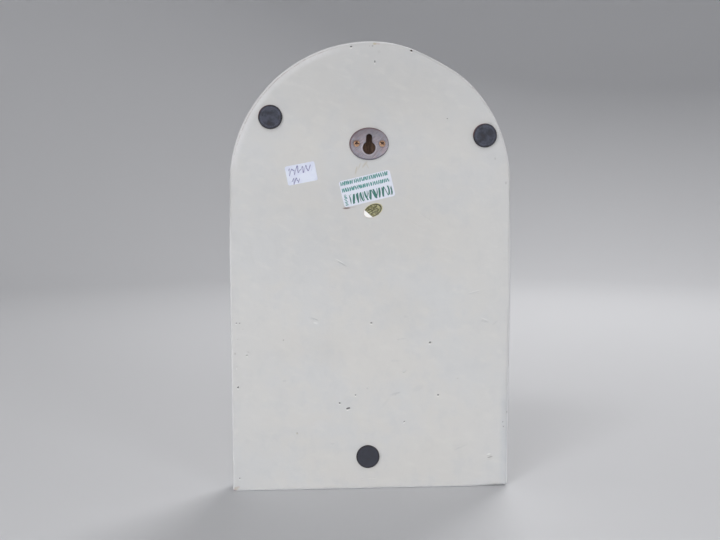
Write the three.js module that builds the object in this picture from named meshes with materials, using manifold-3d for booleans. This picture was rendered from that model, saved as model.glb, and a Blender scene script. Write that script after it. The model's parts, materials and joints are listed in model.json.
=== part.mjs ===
// Decorative wall plaque: an arched casting with a palmette on its front, hung on a keyhole plate.
//
// The frame, in millimetres: +Z is up as the plaque hangs, +Y goes into the wall and -Y comes out of
// the decorated front. The origin is the nail's seat, the centre of the keyhole slot's round top, in
// the plane of the wall. Places on the casting are given as an across and a height: across runs to +X
// from the casting's centreline, height runs up from its bottom edge, and depth is measured towards
// the front from the flat back.

import * as THREE from 'three';
import { mergeVertices } from 'three/addons/utils/BufferGeometryUtils.js';
import Module from 'manifold-3d';

const wasm = await Module();
wasm.setup();

// The casting's outline
const halfWidth = 114;
const archHeight = 251;           // height of the arch's centre
const archRadius = 113;
const easeStart = 190;            // the sides lean in from here to meet the arch
const wornShoulder = { angle: 117, spread: 12, loss: 1.8 };
const wornFoot = { from: -78, to: -112, loss: 1 };
const wearReach = 7;              // inset at which the worn outline has become true again
const wornCorners = [
  { side: 1, radius: 2.2, lift: 0 },
  { side: -1, radius: 2.8, lift: wornFoot.loss },
];

// The casting's thickness and its edges
const rimDepth = 22;
const fieldDepth = 13;
const draft = 1;                  // the front is this much smaller all round than the back
const backArris = { inset: 2.5, depth: 2.5 };
const filedBevel = { angle: 44, spread: 19, inset: 4.5, depth: 0.8 };
const frontArris = 2;

// The moulding, as insets from the outline
const rimInner = 9;
const bead = { inset: 12.4, radius: 2.6, depth: 19 };
const cove = { outer: 15, inner: 21 };

// Hanging
const wallGap = 2;                // the pads hold the back this far off the wall
const joinGap = 0.3;              // the film of glue, or the play, between two pieces
const seatHeight = 288.75;        // height of the nail's seat over the bottom edge
const seatAcross = 1.7;           // the plate is screwed on this far off the centreline
const plate = { width: 31.3, height: 25.6, thickness: 1.2, middle: -5.25, edge: 0.25 };
const keyhole = { slotWidth: 4.6, eyeDiameter: 9.9, eyeMiddle: -8.55 };
const screw = { headDiameter: 5, headDepth: 1.1, dome: 0.3, shankDiameter: 2.6, length: 11 };
const screwAcross = [-10.5, 9.9];
const screwHeight = -5.15;
const crossRecess = { length: 3, width: 0.7, depth: 0.7 };
const nailPocket = { width: 14, height: 20, depth: 7, middle: -5.6 };

// What is stuck on the back
const pad = { diameter: 19.05, edge: 0.35 };
const padPlaces = {
  wall_pad_upper_left: [79.95, 304.6],
  wall_pad_upper_right: [-91.4, 289.95],
  wall_pad_lower: [3, 27.9],
};
const stickerThickness = 0.2;
const paperLabel = { width: 42, height: 21.4, corner: 2, tilt: -13.3, place: [3.3, 247.8] };
const stockSticker = { width: 24.1, height: 15.4, corner: 1.5, tilt: -10.8, place: [55.9, 260.1] };
const foilSeal = { width: 16.3, height: 10.4, tilt: -26, place: [-1.5, 230.4] };

// The relief on the field: each line is one stroke and its mirror image, in degrees and millimetres.
// A stroke leaves its base at a heading and turns by bend evenly and by curl ever faster.
const leaves = [
  { base: [1, 40], heading: 18, bend: 40, curl: 0, length: 88, width: 12, full: 0.9, rise: 8 },
  { base: [1, 52], heading: 66, bend: 26, curl: 0, length: 60, width: 9, full: 0.9, rise: 8.5 },
  { base: [1, 134], heading: 78, bend: -75, curl: 0, length: 62, width: 8.5, full: 0.85, rise: 7.5 },
  { base: [1, 208], heading: 62, bend: -85, curl: 0, length: 56, width: 8, full: 0.85, rise: 7 },
];
const scrolls = [
  { base: [2, 74], heading: 86, bend: -84, curl: -430, length: 208, width: 4.6, rise: 6.5 },
  { base: [2, 160], heading: 84, bend: -92, curl: -430, length: 148, width: 3.8, rise: 6 },
];
const budSwell = 1.15;            // a scroll's bud is this much wider than its stalk
const palmette = { height: 240, pairs: 4, spacing: 24, bend: 4.8, curl: -2 };
const petals = { length: 84, shorter: 5.5, width: 8.6, full: 1.75, rise: 8 };
const stem = { from: 42, to: 234, halfWidth: 3.2, rise: 5 };
const bosses = [
  { place: [0, 238], half: [8, 6], rise: 9 },
  { place: [0, 160], half: [6.5, 5], rise: 7.5 },
  { place: [0, 74], half: [5.5, 5], rise: 7.5 },
  { place: [0, 44], half: [9, 7], rise: 9 },
];
const reliefRoot = 1.5;           // how far the relief is carried down into the field
const leafManner = { power: 1, steps: 10, crowding: 1 };
const petalManner = { power: 3, steps: 9, crowding: 1 };
const scrollManner = { power: 4, steps: 32, crowding: 0.6 };
const stemManner = { power: 1, steps: 1, crowding: 1 };

const radians = THREE.MathUtils.degToRad;
const smoothstep = THREE.MathUtils.smoothstep;
const lerp = THREE.MathUtils.lerp;

// ---- solids ----

// A closed skin through rings of points. Each ring runs anticlockwise seen from the side that the
// rings advance towards, and the first and last are closed by fans of triangles.
function skin(rings) {
  const size = rings[0].length;
  const points = rings.flat();
  const faces = [];
  for (let ring = 0; ring < rings.length - 1; ring += 1) {
    for (let i = 0; i < size; i += 1) {
      const a = ring * size + i;
      const b = ring * size + (i + 1) % size;
      faces.push(a, b, b + size, a, b + size, a + size);
    }
  }
  const lastRing = (rings.length - 1) * size;
  const firstMiddle = points.push(middleOf(rings[0])) - 1;
  const lastMiddle = points.push(middleOf(rings.at(-1))) - 1;
  for (let i = 0; i < size; i += 1) {
    const next = (i + 1) % size;
    faces.push(firstMiddle, next, i, lastMiddle, lastRing + i, lastRing + next);
  }
  const geometry = new THREE.BufferGeometry().setFromPoints(points);
  geometry.setIndex(faces);
  return geometry;
}

function middleOf(ring) {
  const sum = ring.reduce((total, point) => total.add(point), new THREE.Vector3());
  return sum.divideScalar(ring.length);
}

function toSolid(geometry) {
  const bare = geometry.clone();
  bare.deleteAttribute('normal');
  bare.deleteAttribute('uv');
  const merged = mergeVertices(bare, 1e-4);
  const corners = [];
  for (let i = 0; i < merged.index.count; i += 3) {
    const [a, b, c] = [0, 1, 2].map((step) => merged.index.getX(i + step));
    if (a !== b && b !== c && c !== a) corners.push(a, b, c);
  }
  return new wasm.Manifold(new wasm.Mesh({
    numProp: 3,
    vertProperties: new Float32Array(merged.attributes.position.array),
    triVerts: new Uint32Array(corners),
  }));
}

function toGeometry(solid) {
  const { vertProperties, triVerts } = solid.getMesh();
  const geometry = new THREE.BufferGeometry();
  geometry.setAttribute('position', new THREE.BufferAttribute(vertProperties, 3));
  geometry.setIndex(new THREE.BufferAttribute(triVerts, 1));
  return geometry;
}

// A point of the casting from its across, height and depth
function onCasting(across, height, depth) {
  return new THREE.Vector3(across, -depth, height);
}

// ---- the casting's body ----

// The stations round the outline, anticlockwise seen from the front
function outlineStations() {
  const counts = { foot: 6, right: 7, arch: 36, left: 7 };
  return Object.entries(counts).flatMap(([stretch, count]) => (
    Array.from({ length: count }, (_, i) => ({ stretch, along: i / count }))
  ));
}

function sideAt(height) {
  return lerp(halfWidth, archRadius, smoothstep(height, easeStart, archHeight));
}

function bellCurve(angle, { angle: middle, spread }) {
  return Math.exp(-(((angle - middle) / spread) ** 2));
}

// The outline moved in by an inset. The wear of the shoulder and of the foot fades with the inset.
function outlinePoint({ stretch, along }, inset, depth) {
  const wear = 1 - smoothstep(inset, 0, wearReach);
  const footAt = (across) => (
    inset + wear * wornFoot.loss * smoothstep(-across, -wornFoot.from, -wornFoot.to)
  );
  if (stretch === 'foot') {
    const across = lerp(inset - halfWidth, halfWidth - inset, along);
    return onCasting(across, footAt(across), depth);
  }
  if (stretch === 'arch') {
    const angle = 180 * along;
    const radius = archRadius - inset - wear * wornShoulder.loss * bellCurve(angle, wornShoulder);
    return onCasting(
      radius * Math.cos(radians(angle)),
      archHeight + radius * Math.sin(radians(angle)),
      depth,
    );
  }
  const side = stretch === 'right' ? 1 : -1;
  const low = footAt(side * (halfWidth - inset));
  const height = stretch === 'right' ? lerp(low, archHeight, along) : lerp(archHeight, low, along);
  return onCasting(side * (sideAt(height) - inset), height, depth);
}

// How much of the filed bevel there is at a station
function bevelShare({ stretch, along }) {
  return stretch === 'arch' ? bellCurve(180 * along, filedBevel) : bellCurve(-90, filedBevel);
}

// The body's section from the flat back, round the edge and in over the moulding to the field, as
// functions of the station that give an inset and a depth
function bodySection() {
  const section = [];
  const fixed = (inset, depth) => section.push(() => [inset, depth]);
  for (const turn of [0, 30, 60, 90]) {
    section.push((station) => {
      const share = bevelShare(station);
      const inset = backArris.inset + filedBevel.inset * share;
      const depth = backArris.depth + filedBevel.depth * share;
      return [inset * (1 - Math.sin(radians(turn))), depth * (1 - Math.cos(radians(turn)))];
    });
  }
  for (const turn of [0, 45, 90]) {
    fixed(
      draft + frontArris * (1 - Math.cos(radians(turn))),
      rimDepth - frontArris * (1 - Math.sin(radians(turn))),
    );
  }
  fixed(rimInner, rimDepth);
  for (const turn of [180, 135, 90, 45, 0]) {
    fixed(
      bead.inset + bead.radius * Math.cos(radians(turn)),
      bead.depth + bead.radius * Math.sin(radians(turn)),
    );
  }
  const coveRadius = cove.inner - cove.outer;
  const coveTop = fieldDepth + coveRadius;
  for (const turn of [5, 30, 60, 90]) {
    fixed(
      cove.inner - coveRadius * Math.cos(radians(turn)),
      coveTop - coveRadius * Math.sin(radians(turn)),
    );
  }
  return section;
}

function castingBody() {
  const stations = outlineStations();
  const rings = bodySection().map((inSection) => stations.map((station) => {
    const [inset, depth] = inSection(station);
    return outlinePoint(station, inset, depth);
  }));
  return toSolid(skin(rings));
}

// ---- the relief ----

// The middle line of a stroke: its heading is summed up step by step along its length. A crowding
// below 1 sets the steps closer together towards the end.
function strokeSpine({ base, heading, bend, curl, length }, { power, steps, crowding }, side) {
  const turn = (along) => radians(heading + bend * along + curl * along ** power);
  const spine = [];
  let [across, height] = base;
  for (let i = 0; i <= steps; i += 1) {
    const along = (i / steps) ** crowding;
    const out = new THREE.Vector2(side * Math.cos(turn(along)), Math.sin(turn(along)));
    spine.push({ along, across: side * across, height, out });
    const step = ((i + 1) / steps) ** crowding - along;
    across += Math.cos(turn(along + step / 2)) * step * length;
    height += Math.sin(turn(along + step / 2)) * step * length;
  }
  return spine;
}

// A stroke's solid: its section, as shares of its half width and rise, is carried along the spine
function strokeSolid(spine, widthAt, riseAt, section) {
  const rings = spine.map(({ along, across, height, out }) => {
    const [width, rise] = [widthAt(along), riseAt(along)];
    const ring = section.map(([share, lift]) => [share * width, fieldDepth + lift * rise]);
    const foot = fieldDepth - reliefRoot;
    ring.push([ring.at(-1)[0], foot], [ring[0][0], foot]);
    return ring.map(([aside, depth]) => onCasting(across + aside * out.y, height - aside * out.x, depth));
  });
  return toSolid(skin(rings));
}

const leafSection = [-1, -0.85, -0.45, 0, 0.45, 0.85, 1].map((share) => [
  share,
  (1 - share ** 4) * (0.72 + 0.28 * smoothstep(Math.abs(share), 0, 0.45)),
]);
const roundSection = [180, 140, 90, 40, 0].map((turn) => [
  Math.cos(radians(turn)),
  Math.sin(radians(turn)),
]);

// A leaf swells from its base and closes to a point, with a hollow along its middle
function leafSolid(leaf, manner, side) {
  const widthAt = (along) => {
    const t = THREE.MathUtils.clamp(along, 0.015, 0.985);
    return leaf.width * Math.sin(Math.PI * t ** leaf.full) ** 0.75;
  };
  const riseAt = (along) => leaf.rise * (0.45 + 0.55 * Math.sin(Math.PI * along));
  return strokeSolid(strokeSpine(leaf, manner, side), widthAt, riseAt, leafSection);
}

// A scroll thins out along its length and ends in a bud
function scrollSolid(scroll, side) {
  const spine = strokeSpine(scroll, scrollManner, side);
  const widthAt = (along) => scroll.width * (1 - 0.62 * along);
  const riseAt = (along) => scroll.rise * (1 - 0.35 * along);
  const { across, height } = spine.at(-1);
  const budRadius = scroll.width * budSwell;
  const bud = { place: [across, height], half: [budRadius, budRadius], rise: scroll.rise };
  return strokeSolid(spine, widthAt, riseAt, roundSection).add(bossSolid(bud));
}

function bossSolid({ place, half, rise }) {
  const sides = 14;
  const levels = [[1, -reliefRoot / rise], ...[0, 28, 55, 76].map((turn) => [
    Math.cos(radians(turn)), Math.sin(radians(turn)),
  ])];
  return toSolid(skin(levels.map(([share, lift]) => Array.from({ length: sides }, (_, i) => {
    const angle = 2 * Math.PI * i / sides;
    return onCasting(
      place[0] + half[0] * share * Math.cos(angle),
      place[1] + half[1] * share * Math.sin(angle),
      fieldDepth + rise * lift,
    );
  }))));
}

function stemSolid() {
  const length = stem.to - stem.from;
  const line = { base: [0, stem.from], heading: 90, bend: 0, curl: 0, length };
  return strokeSolid(strokeSpine(line, stemManner, 1), () => stem.halfWidth, () => stem.rise, roundSection);
}

// The palmette is one upright petal and pairs that fan out on both sides, each shorter and more bent
function palmettePetal(order, side) {
  const petal = {
    base: [order ? 1.5 : 0, palmette.height],
    heading: 90 - palmette.spacing * order,
    bend: palmette.bend * order,
    curl: palmette.curl * order,
    length: petals.length - petals.shorter * order,
    width: petals.width,
    full: petals.full,
    rise: petals.rise,
  };
  return leafSolid(petal, petalManner, side);
}

function reliefSolids() {
  const solids = [stemSolid(), palmettePetal(0, 1), ...bosses.map(bossSolid)];
  for (const side of [1, -1]) {
    for (let order = 1; order <= palmette.pairs; order += 1) solids.push(palmettePetal(order, side));
    solids.push(...leaves.map((leaf) => leafSolid(leaf, leafManner, side)));
    solids.push(...scrolls.map((scroll) => scrollSolid(scroll, side)));
  }
  return solids;
}

// ---- cuts in the casting ----

// What lies outside a quarter circle in a lower corner, through the whole thickness
function cornerCut({ side, radius, lift }) {
  const arc = [0, 15, 30, 45, 60, 75, 90].map((turn) => (
    new THREE.Vector2(side * radius * Math.cos(radians(turn)), -radius * Math.sin(radians(turn)))
  ));
  const far = radius + 2;
  const outside = [[0, -far], [side * far, -far], [side * far, 0]].map(([x, y]) => new THREE.Vector2(x, y));
  const options = { depth: rimDepth + 4, bevelEnabled: false };
  const geometry = new THREE.ExtrudeGeometry(new THREE.Shape([...arc, ...outside]), options);
  return geometry.rotateX(Math.PI / 2).translate(side * (halfWidth - radius), 2, radius + lift);
}

function castingCuts() {
  const pocket = new THREE.BoxGeometry(nailPocket.width, 2 * nailPocket.depth, nailPocket.height);
  pocket.translate(seatAcross, 0, seatHeight + nailPocket.middle);
  const holeRadius = screw.shankDiameter / 2 + joinGap;
  const holeDepth = screw.length + joinGap;
  const holes = screwAcross.map((across) => {
    const hole = new THREE.CylinderGeometry(holeRadius, holeRadius, 2 * holeDepth, 16);
    return hole.translate(across + seatAcross, 0, seatHeight + screwHeight);
  });
  return [pocket, ...holes, ...wornCorners.map(cornerCut)].map(toSolid);
}

function castingGeometry() {
  let solid = castingBody();
  for (const form of reliefSolids()) solid = solid.add(form);
  for (const cut of castingCuts()) solid = solid.subtract(cut);
  return toGeometry(solid);
}

// ---- the hanger and its screws ----

// The keyhole: a round eye below, and a slot that runs up to the nail's seat at the origin
function keyholePath() {
  const slot = keyhole.slotWidth / 2;
  const eye = keyhole.eyeDiameter / 2;
  const mouth = Math.acos(slot / eye);
  const path = new THREE.Path();
  path.moveTo(slot, 0);
  path.absarc(0, 0, slot, 0, Math.PI, false);
  path.absarc(0, keyhole.eyeMiddle, eye, Math.PI - mouth, mouth + 2 * Math.PI, false);
  path.closePath();
  return path;
}

function hangerGeometry() {
  const shape = new THREE.Shape();
  const edge = plate.edge;
  shape.absellipse(0, plate.middle, plate.width / 2, plate.height / 2, 0, 2 * Math.PI);
  shape.holes.push(keyholePath());
  const geometry = new THREE.ExtrudeGeometry(shape, {
    depth: plate.thickness - 2 * edge,
    bevelThickness: edge,
    bevelSize: edge,
    bevelOffset: -edge,
    bevelSegments: 1,
    curveSegments: 12,
  });
  geometry.translate(0, 0, edge).rotateX(Math.PI / 2);
  let solid = toSolid(geometry);
  for (const across of screwAcross) {
    const sink = new THREE.CylinderGeometry(
      screw.headDiameter / 2 + joinGap + 0.6,
      screw.shankDiameter / 2 + joinGap - 0.6,
      plate.thickness + 1.2,
      16,
    );
    sink.translate(across, -plate.thickness / 2, screwHeight);
    solid = solid.subtract(toSolid(sink));
  }
  return toGeometry(solid);
}

// A countersunk screw on the line of its own axis, its head's edge level with its origin
function screwGeometry() {
  const head = screw.headDiameter / 2;
  const shank = screw.shankDiameter / 2;
  const profile = [
    [0, -screw.length],
    [shank * 0.35, -screw.length + 0.4],
    [shank, -screw.length + 3],
    [shank, -screw.headDepth - 0.2],
    [head, -0.15],
    [head, 0],
    [head * 0.6, screw.dome * 0.7],
    [0, screw.dome],
  ].map(([radius, level]) => new THREE.Vector2(radius, level));
  let solid = toSolid(new THREE.LatheGeometry(profile, 14));
  for (const turn of [0, Math.PI / 2]) {
    const arm = new THREE.BoxGeometry(crossRecess.length, 2 * crossRecess.depth, crossRecess.width);
    solid = solid.subtract(toSolid(arm.rotateY(turn + 0.3)));
  }
  return toGeometry(solid);
}

// ---- pads and stickers ----

function padGeometry() {
  const radius = pad.diameter / 2;
  const thickness = wallGap - joinGap;
  const profile = [
    [0, -thickness],
    [radius, -thickness],
    [radius, -pad.edge],
    [radius - pad.edge, 0],
    [0, 0],
  ].map(([across, level]) => new THREE.Vector2(across, level));
  return new THREE.LatheGeometry(profile, 36);
}

function stickerGeometry(shape, tilt) {
  const options = { depth: stickerThickness, bevelEnabled: false, curveSegments: 5 };
  const geometry = new THREE.ExtrudeGeometry(shape, options);
  return geometry.rotateZ(radians(tilt)).rotateX(Math.PI / 2);
}

function roundedRectangle({ width, height, corner }) {
  const shape = new THREE.Shape();
  const [x, y] = [width / 2 - corner, height / 2 - corner];
  shape.absarc(x, y, corner, 0, Math.PI / 2, false);
  shape.absarc(-x, y, corner, Math.PI / 2, Math.PI, false);
  shape.absarc(-x, -y, corner, Math.PI, 1.5 * Math.PI, false);
  shape.absarc(x, -y, corner, 1.5 * Math.PI, 2 * Math.PI, false);
  shape.closePath();
  return shape;
}

function ovalShape({ width, height }) {
  const shape = new THREE.Shape();
  shape.absellipse(0, 0, width / 2, height / 2, 0, 2 * Math.PI);
  return shape;
}

// ---- the plaque ----

const finishes = {
  paint: new THREE.MeshStandardMaterial({ color: 0xc6c6c2, roughness: 0.75, metalness: 0 }),
  steel: new THREE.MeshStandardMaterial({ color: 0x958f97, roughness: 0.45, metalness: 0.9 }),
  brass: new THREE.MeshStandardMaterial({ color: 0xb59a5a, roughness: 0.35, metalness: 1 }),
  foam: new THREE.MeshStandardMaterial({ color: 0x494a55, roughness: 0.9, metalness: 0 }),
  paper: new THREE.MeshStandardMaterial({ color: 0xe2e6ea, roughness: 0.6, metalness: 0 }),
  foil: new THREE.MeshStandardMaterial({ color: 0xb9a24c, roughness: 0.3, metalness: 0.9 }),
};

const plaque = new THREE.Group();

function place(name, geometry, finish, x, y, z) {
  const mesh = new THREE.Mesh(geometry, finish);
  mesh.name = name;
  mesh.position.set(x, y, z);
  plaque.add(mesh);
}

// A place on the casting's back, as the frame's X and Z
function onBack([across, height]) {
  return [across - seatAcross, height - seatHeight];
}

function placeSticker(name, shape, finish, { tilt, place: spot }) {
  const [x, z] = onBack(spot);
  place(name, stickerGeometry(shape, tilt), finish, x, -wallGap + joinGap + stickerThickness, z);
}

const plateFace = -wallGap + joinGap + plate.thickness;
place('plaque_casting', castingGeometry(), finishes.paint, -seatAcross, -wallGap, -seatHeight);
place('keyhole_hanger', hangerGeometry(), finishes.steel, 0, plateFace, 0);
['hanger_screw_right', 'hanger_screw_left'].forEach((name, i) => {
  place(name, screwGeometry(), finishes.brass, screwAcross[i], plateFace, screwHeight);
});
for (const [name, spot] of Object.entries(padPlaces)) {
  const [x, z] = onBack(spot);
  place(name, padGeometry(), finishes.foam, x, 0, z);
}
placeSticker('paper_label', roundedRectangle(paperLabel), finishes.paper, paperLabel);
placeSticker('stock_sticker', roundedRectangle(stockSticker), finishes.paper, stockSticker);
placeSticker('foil_seal', ovalShape(foilSeal), finishes.foil, foilSeal);

export default plaque;
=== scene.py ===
import json
import math
import bpy
import numpy as np
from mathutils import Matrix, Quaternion, Vector

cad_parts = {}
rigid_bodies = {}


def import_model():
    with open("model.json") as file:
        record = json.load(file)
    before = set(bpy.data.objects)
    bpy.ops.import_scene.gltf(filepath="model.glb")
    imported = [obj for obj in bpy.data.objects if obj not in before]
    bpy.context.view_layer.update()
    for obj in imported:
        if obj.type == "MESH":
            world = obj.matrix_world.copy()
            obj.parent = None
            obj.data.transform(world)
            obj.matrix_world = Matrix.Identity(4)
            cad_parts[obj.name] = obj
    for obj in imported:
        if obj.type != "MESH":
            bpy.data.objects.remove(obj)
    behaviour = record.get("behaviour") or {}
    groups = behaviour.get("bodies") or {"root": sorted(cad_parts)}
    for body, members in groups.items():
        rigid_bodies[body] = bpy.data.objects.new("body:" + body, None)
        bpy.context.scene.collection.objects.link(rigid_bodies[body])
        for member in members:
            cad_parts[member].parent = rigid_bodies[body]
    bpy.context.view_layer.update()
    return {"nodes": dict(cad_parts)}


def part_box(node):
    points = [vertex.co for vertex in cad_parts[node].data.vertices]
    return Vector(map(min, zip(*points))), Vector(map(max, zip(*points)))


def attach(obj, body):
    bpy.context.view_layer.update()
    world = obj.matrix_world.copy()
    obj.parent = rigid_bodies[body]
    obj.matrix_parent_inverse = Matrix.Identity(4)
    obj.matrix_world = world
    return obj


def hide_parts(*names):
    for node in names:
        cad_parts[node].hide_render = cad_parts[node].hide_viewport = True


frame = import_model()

mm = 0.001
sharpAngle = 32      # degrees between faces, past which an edge is left sharp
print("frame loaded:", len(frame["nodes"]), "nodes")

# Places on the plaque are in millimetres: across to +X from the casting's centreline, height up from
# its foot, and depth from the flat back towards the decorated front.
castingLow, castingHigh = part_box("plaque_casting")
middleX = (castingLow.x + castingHigh.x) / 2
footZ = castingLow.z
backY = castingHigh.y
castingWidth, castingThickness, castingHeight = ((castingHigh - castingLow) / mm)


def onPlaque(across, height, depth):
    # X = middle + across, Y = back - depth, Z = foot + height, as rows of metres
    across, height, depth = np.broadcast_arrays(across, height, depth)
    return np.stack([middleX + across * mm, backY - depth * mm, footZ + height * mm], -1)


def middleOf(node):
    # the middle of a node's box, as across and height
    low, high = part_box(node)
    return (low.x + high.x) / 2 / mm - middleX / mm, (low.z + high.z) / 2 / mm - footZ / mm


def smoothRise(value, low, high):
    # 0 below low, 1 above high, and 3t^2 - 2t^3 between; low may be the larger
    t = np.clip((value - low) / (high - low), 0, 1)
    return t * t * (3 - 2 * t)


def bell(value, middle, spread):
    # exp of minus the squared distance from the middle, in spreads
    return np.exp(-((value - middle) / spread) ** 2)


def ripples(across, height, waves, seed):
    # a sum of sines: each wave has a length, a height, a random direction and a random start
    draw = np.random.default_rng(seed)
    total = np.zeros(np.broadcast(across, height).shape)
    for length, size, flatness in waves:
        angle = draw.uniform(-1, 1) * flatness + math.pi / 2
        start = draw.uniform(0, 2 * math.pi)
        along = across * math.cos(angle) + height * math.sin(angle)
        total += size * np.sin(2 * math.pi * along / length + start)
    return total


def fullTurn(count):
    # even angles round a full turn
    return np.linspace(0, 2 * math.pi, count, endpoint=False)


def newMesh(name, points, faces, closed=True):
    # a closed mesh is turned the right way out: its volume is the sum of a . (b x c) / 6 over its
    # triangles, and it has to come out positive
    mesh = bpy.data.meshes.new(name)
    points = np.asarray(points, float).reshape(-1, 3)
    mesh.from_pydata(points.tolist(), [], faces)
    mesh.validate()
    if closed:
        mesh.calc_loop_triangles()
        corners = np.zeros(len(mesh.loop_triangles) * 3, np.int32)
        mesh.loop_triangles.foreach_get("vertices", corners)
        a, b, c = points[corners.reshape(-1, 3).T] - points[0]
        if np.einsum("ij,ij->", a, np.cross(b, c)) < 0:
            mesh.flip_normals()
    return mesh


def gridFaces(index, closed=False):
    # quads between neighbouring rows and columns of a grid of vertex numbers; closed joins the last
    # column to the first
    if closed:
        index = np.concatenate([index, index[:, :1]], 1)
    return np.stack([index[:-1, :-1], index[:-1, 1:], index[1:, 1:], index[1:, :-1]], -1).reshape(-1, 4)


def tubeMesh(name, rings):
    # rings of points joined by quads, with a fan of triangles to a middle point at each end
    rings = np.asarray(rings, float)
    count, size = rings.shape[:2]
    index = np.arange(count * size).reshape(count, size)
    points = np.concatenate([rings.reshape(-1, 3), [rings[0].mean(0), rings[-1].mean(0)]])
    first, last = count * size, count * size + 1
    faces = gridFaces(index, closed=True).tolist()
    faces += [(first, b, a) for a, b in zip(index[0], np.roll(index[0], -1))]
    faces += [(last, a, b) for a, b in zip(index[-1], np.roll(index[-1], -1))]
    return newMesh(name, points, faces)


def newObject(data):
    # an object with the name of its mesh, light or camera
    piece = bpy.data.objects.new(data.name, data)
    bpy.context.scene.collection.objects.link(piece)
    return piece


def bakeModifiers(piece):
    # the modifiers' result becomes the object's own mesh
    graph = bpy.context.evaluated_depsgraph_get()
    mesh = bpy.data.meshes.new_from_object(piece.evaluated_get(graph))
    piece.modifiers.clear()
    old = piece.data
    piece.data = mesh
    bpy.data.meshes.remove(old)
    mesh.name = piece.name


def carve(piece, shapes, operation):
    # one boolean with a collection of closed shapes, which are then deleted
    tools = bpy.data.collections.new(piece.name + "_tools")
    bpy.context.scene.collection.children.link(tools)
    for shape in shapes:
        tools.objects.link(bpy.data.objects.new(shape.name, shape))
    step = piece.modifiers.new(operation, "BOOLEAN")
    step.operation = operation
    step.operand_type = "COLLECTION"
    step.collection = tools
    step.solver = "MANIFOLD"
    step.material_mode = "TRANSFER"
    bakeModifiers(piece)
    for tool in list(tools.objects):
        bpy.data.objects.remove(tool)
    bpy.data.collections.remove(tools)


def smoothFaces(mesh):
    mesh.polygons.foreach_set("use_smooth", np.ones(len(mesh.polygons), bool))


def finishPiece(piece, material, slot, *nodes):
    # smooth faces with sharp edges past an angle, and one material; slot is not used
    mesh = piece.data
    mesh.materials.clear()
    mesh.materials.append(material)
    mesh.polygons.foreach_set("material_index", np.zeros(len(mesh.polygons), np.int32))
    smoothFaces(mesh)
    mesh.set_sharp_from_angle(angle=math.radians(sharpAngle))
    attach(piece, "root")
    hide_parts(*nodes)
    print(piece.name, len(mesh.polygons), "faces")


class Socket:
    # a node's output; arithmetic on it adds Math nodes
    def __init__(self, look, socket):
        self.look = look
        self.socket = socket

    def __add__(self, other):
        return self.look.maths("ADD", self, other)

    def __sub__(self, other):
        return self.look.maths("SUBTRACT", self, other)

    def __rsub__(self, other):
        return self.look.maths("SUBTRACT", other, self)

    def __mul__(self, other):
        return self.look.maths("MULTIPLY", self, other)

    def __truediv__(self, other):
        return self.look.maths("DIVIDE", self, other)

    def __abs__(self):
        return self.look.maths("ABSOLUTE", self)

    __radd__ = __add__
    __rmul__ = __mul__


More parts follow.
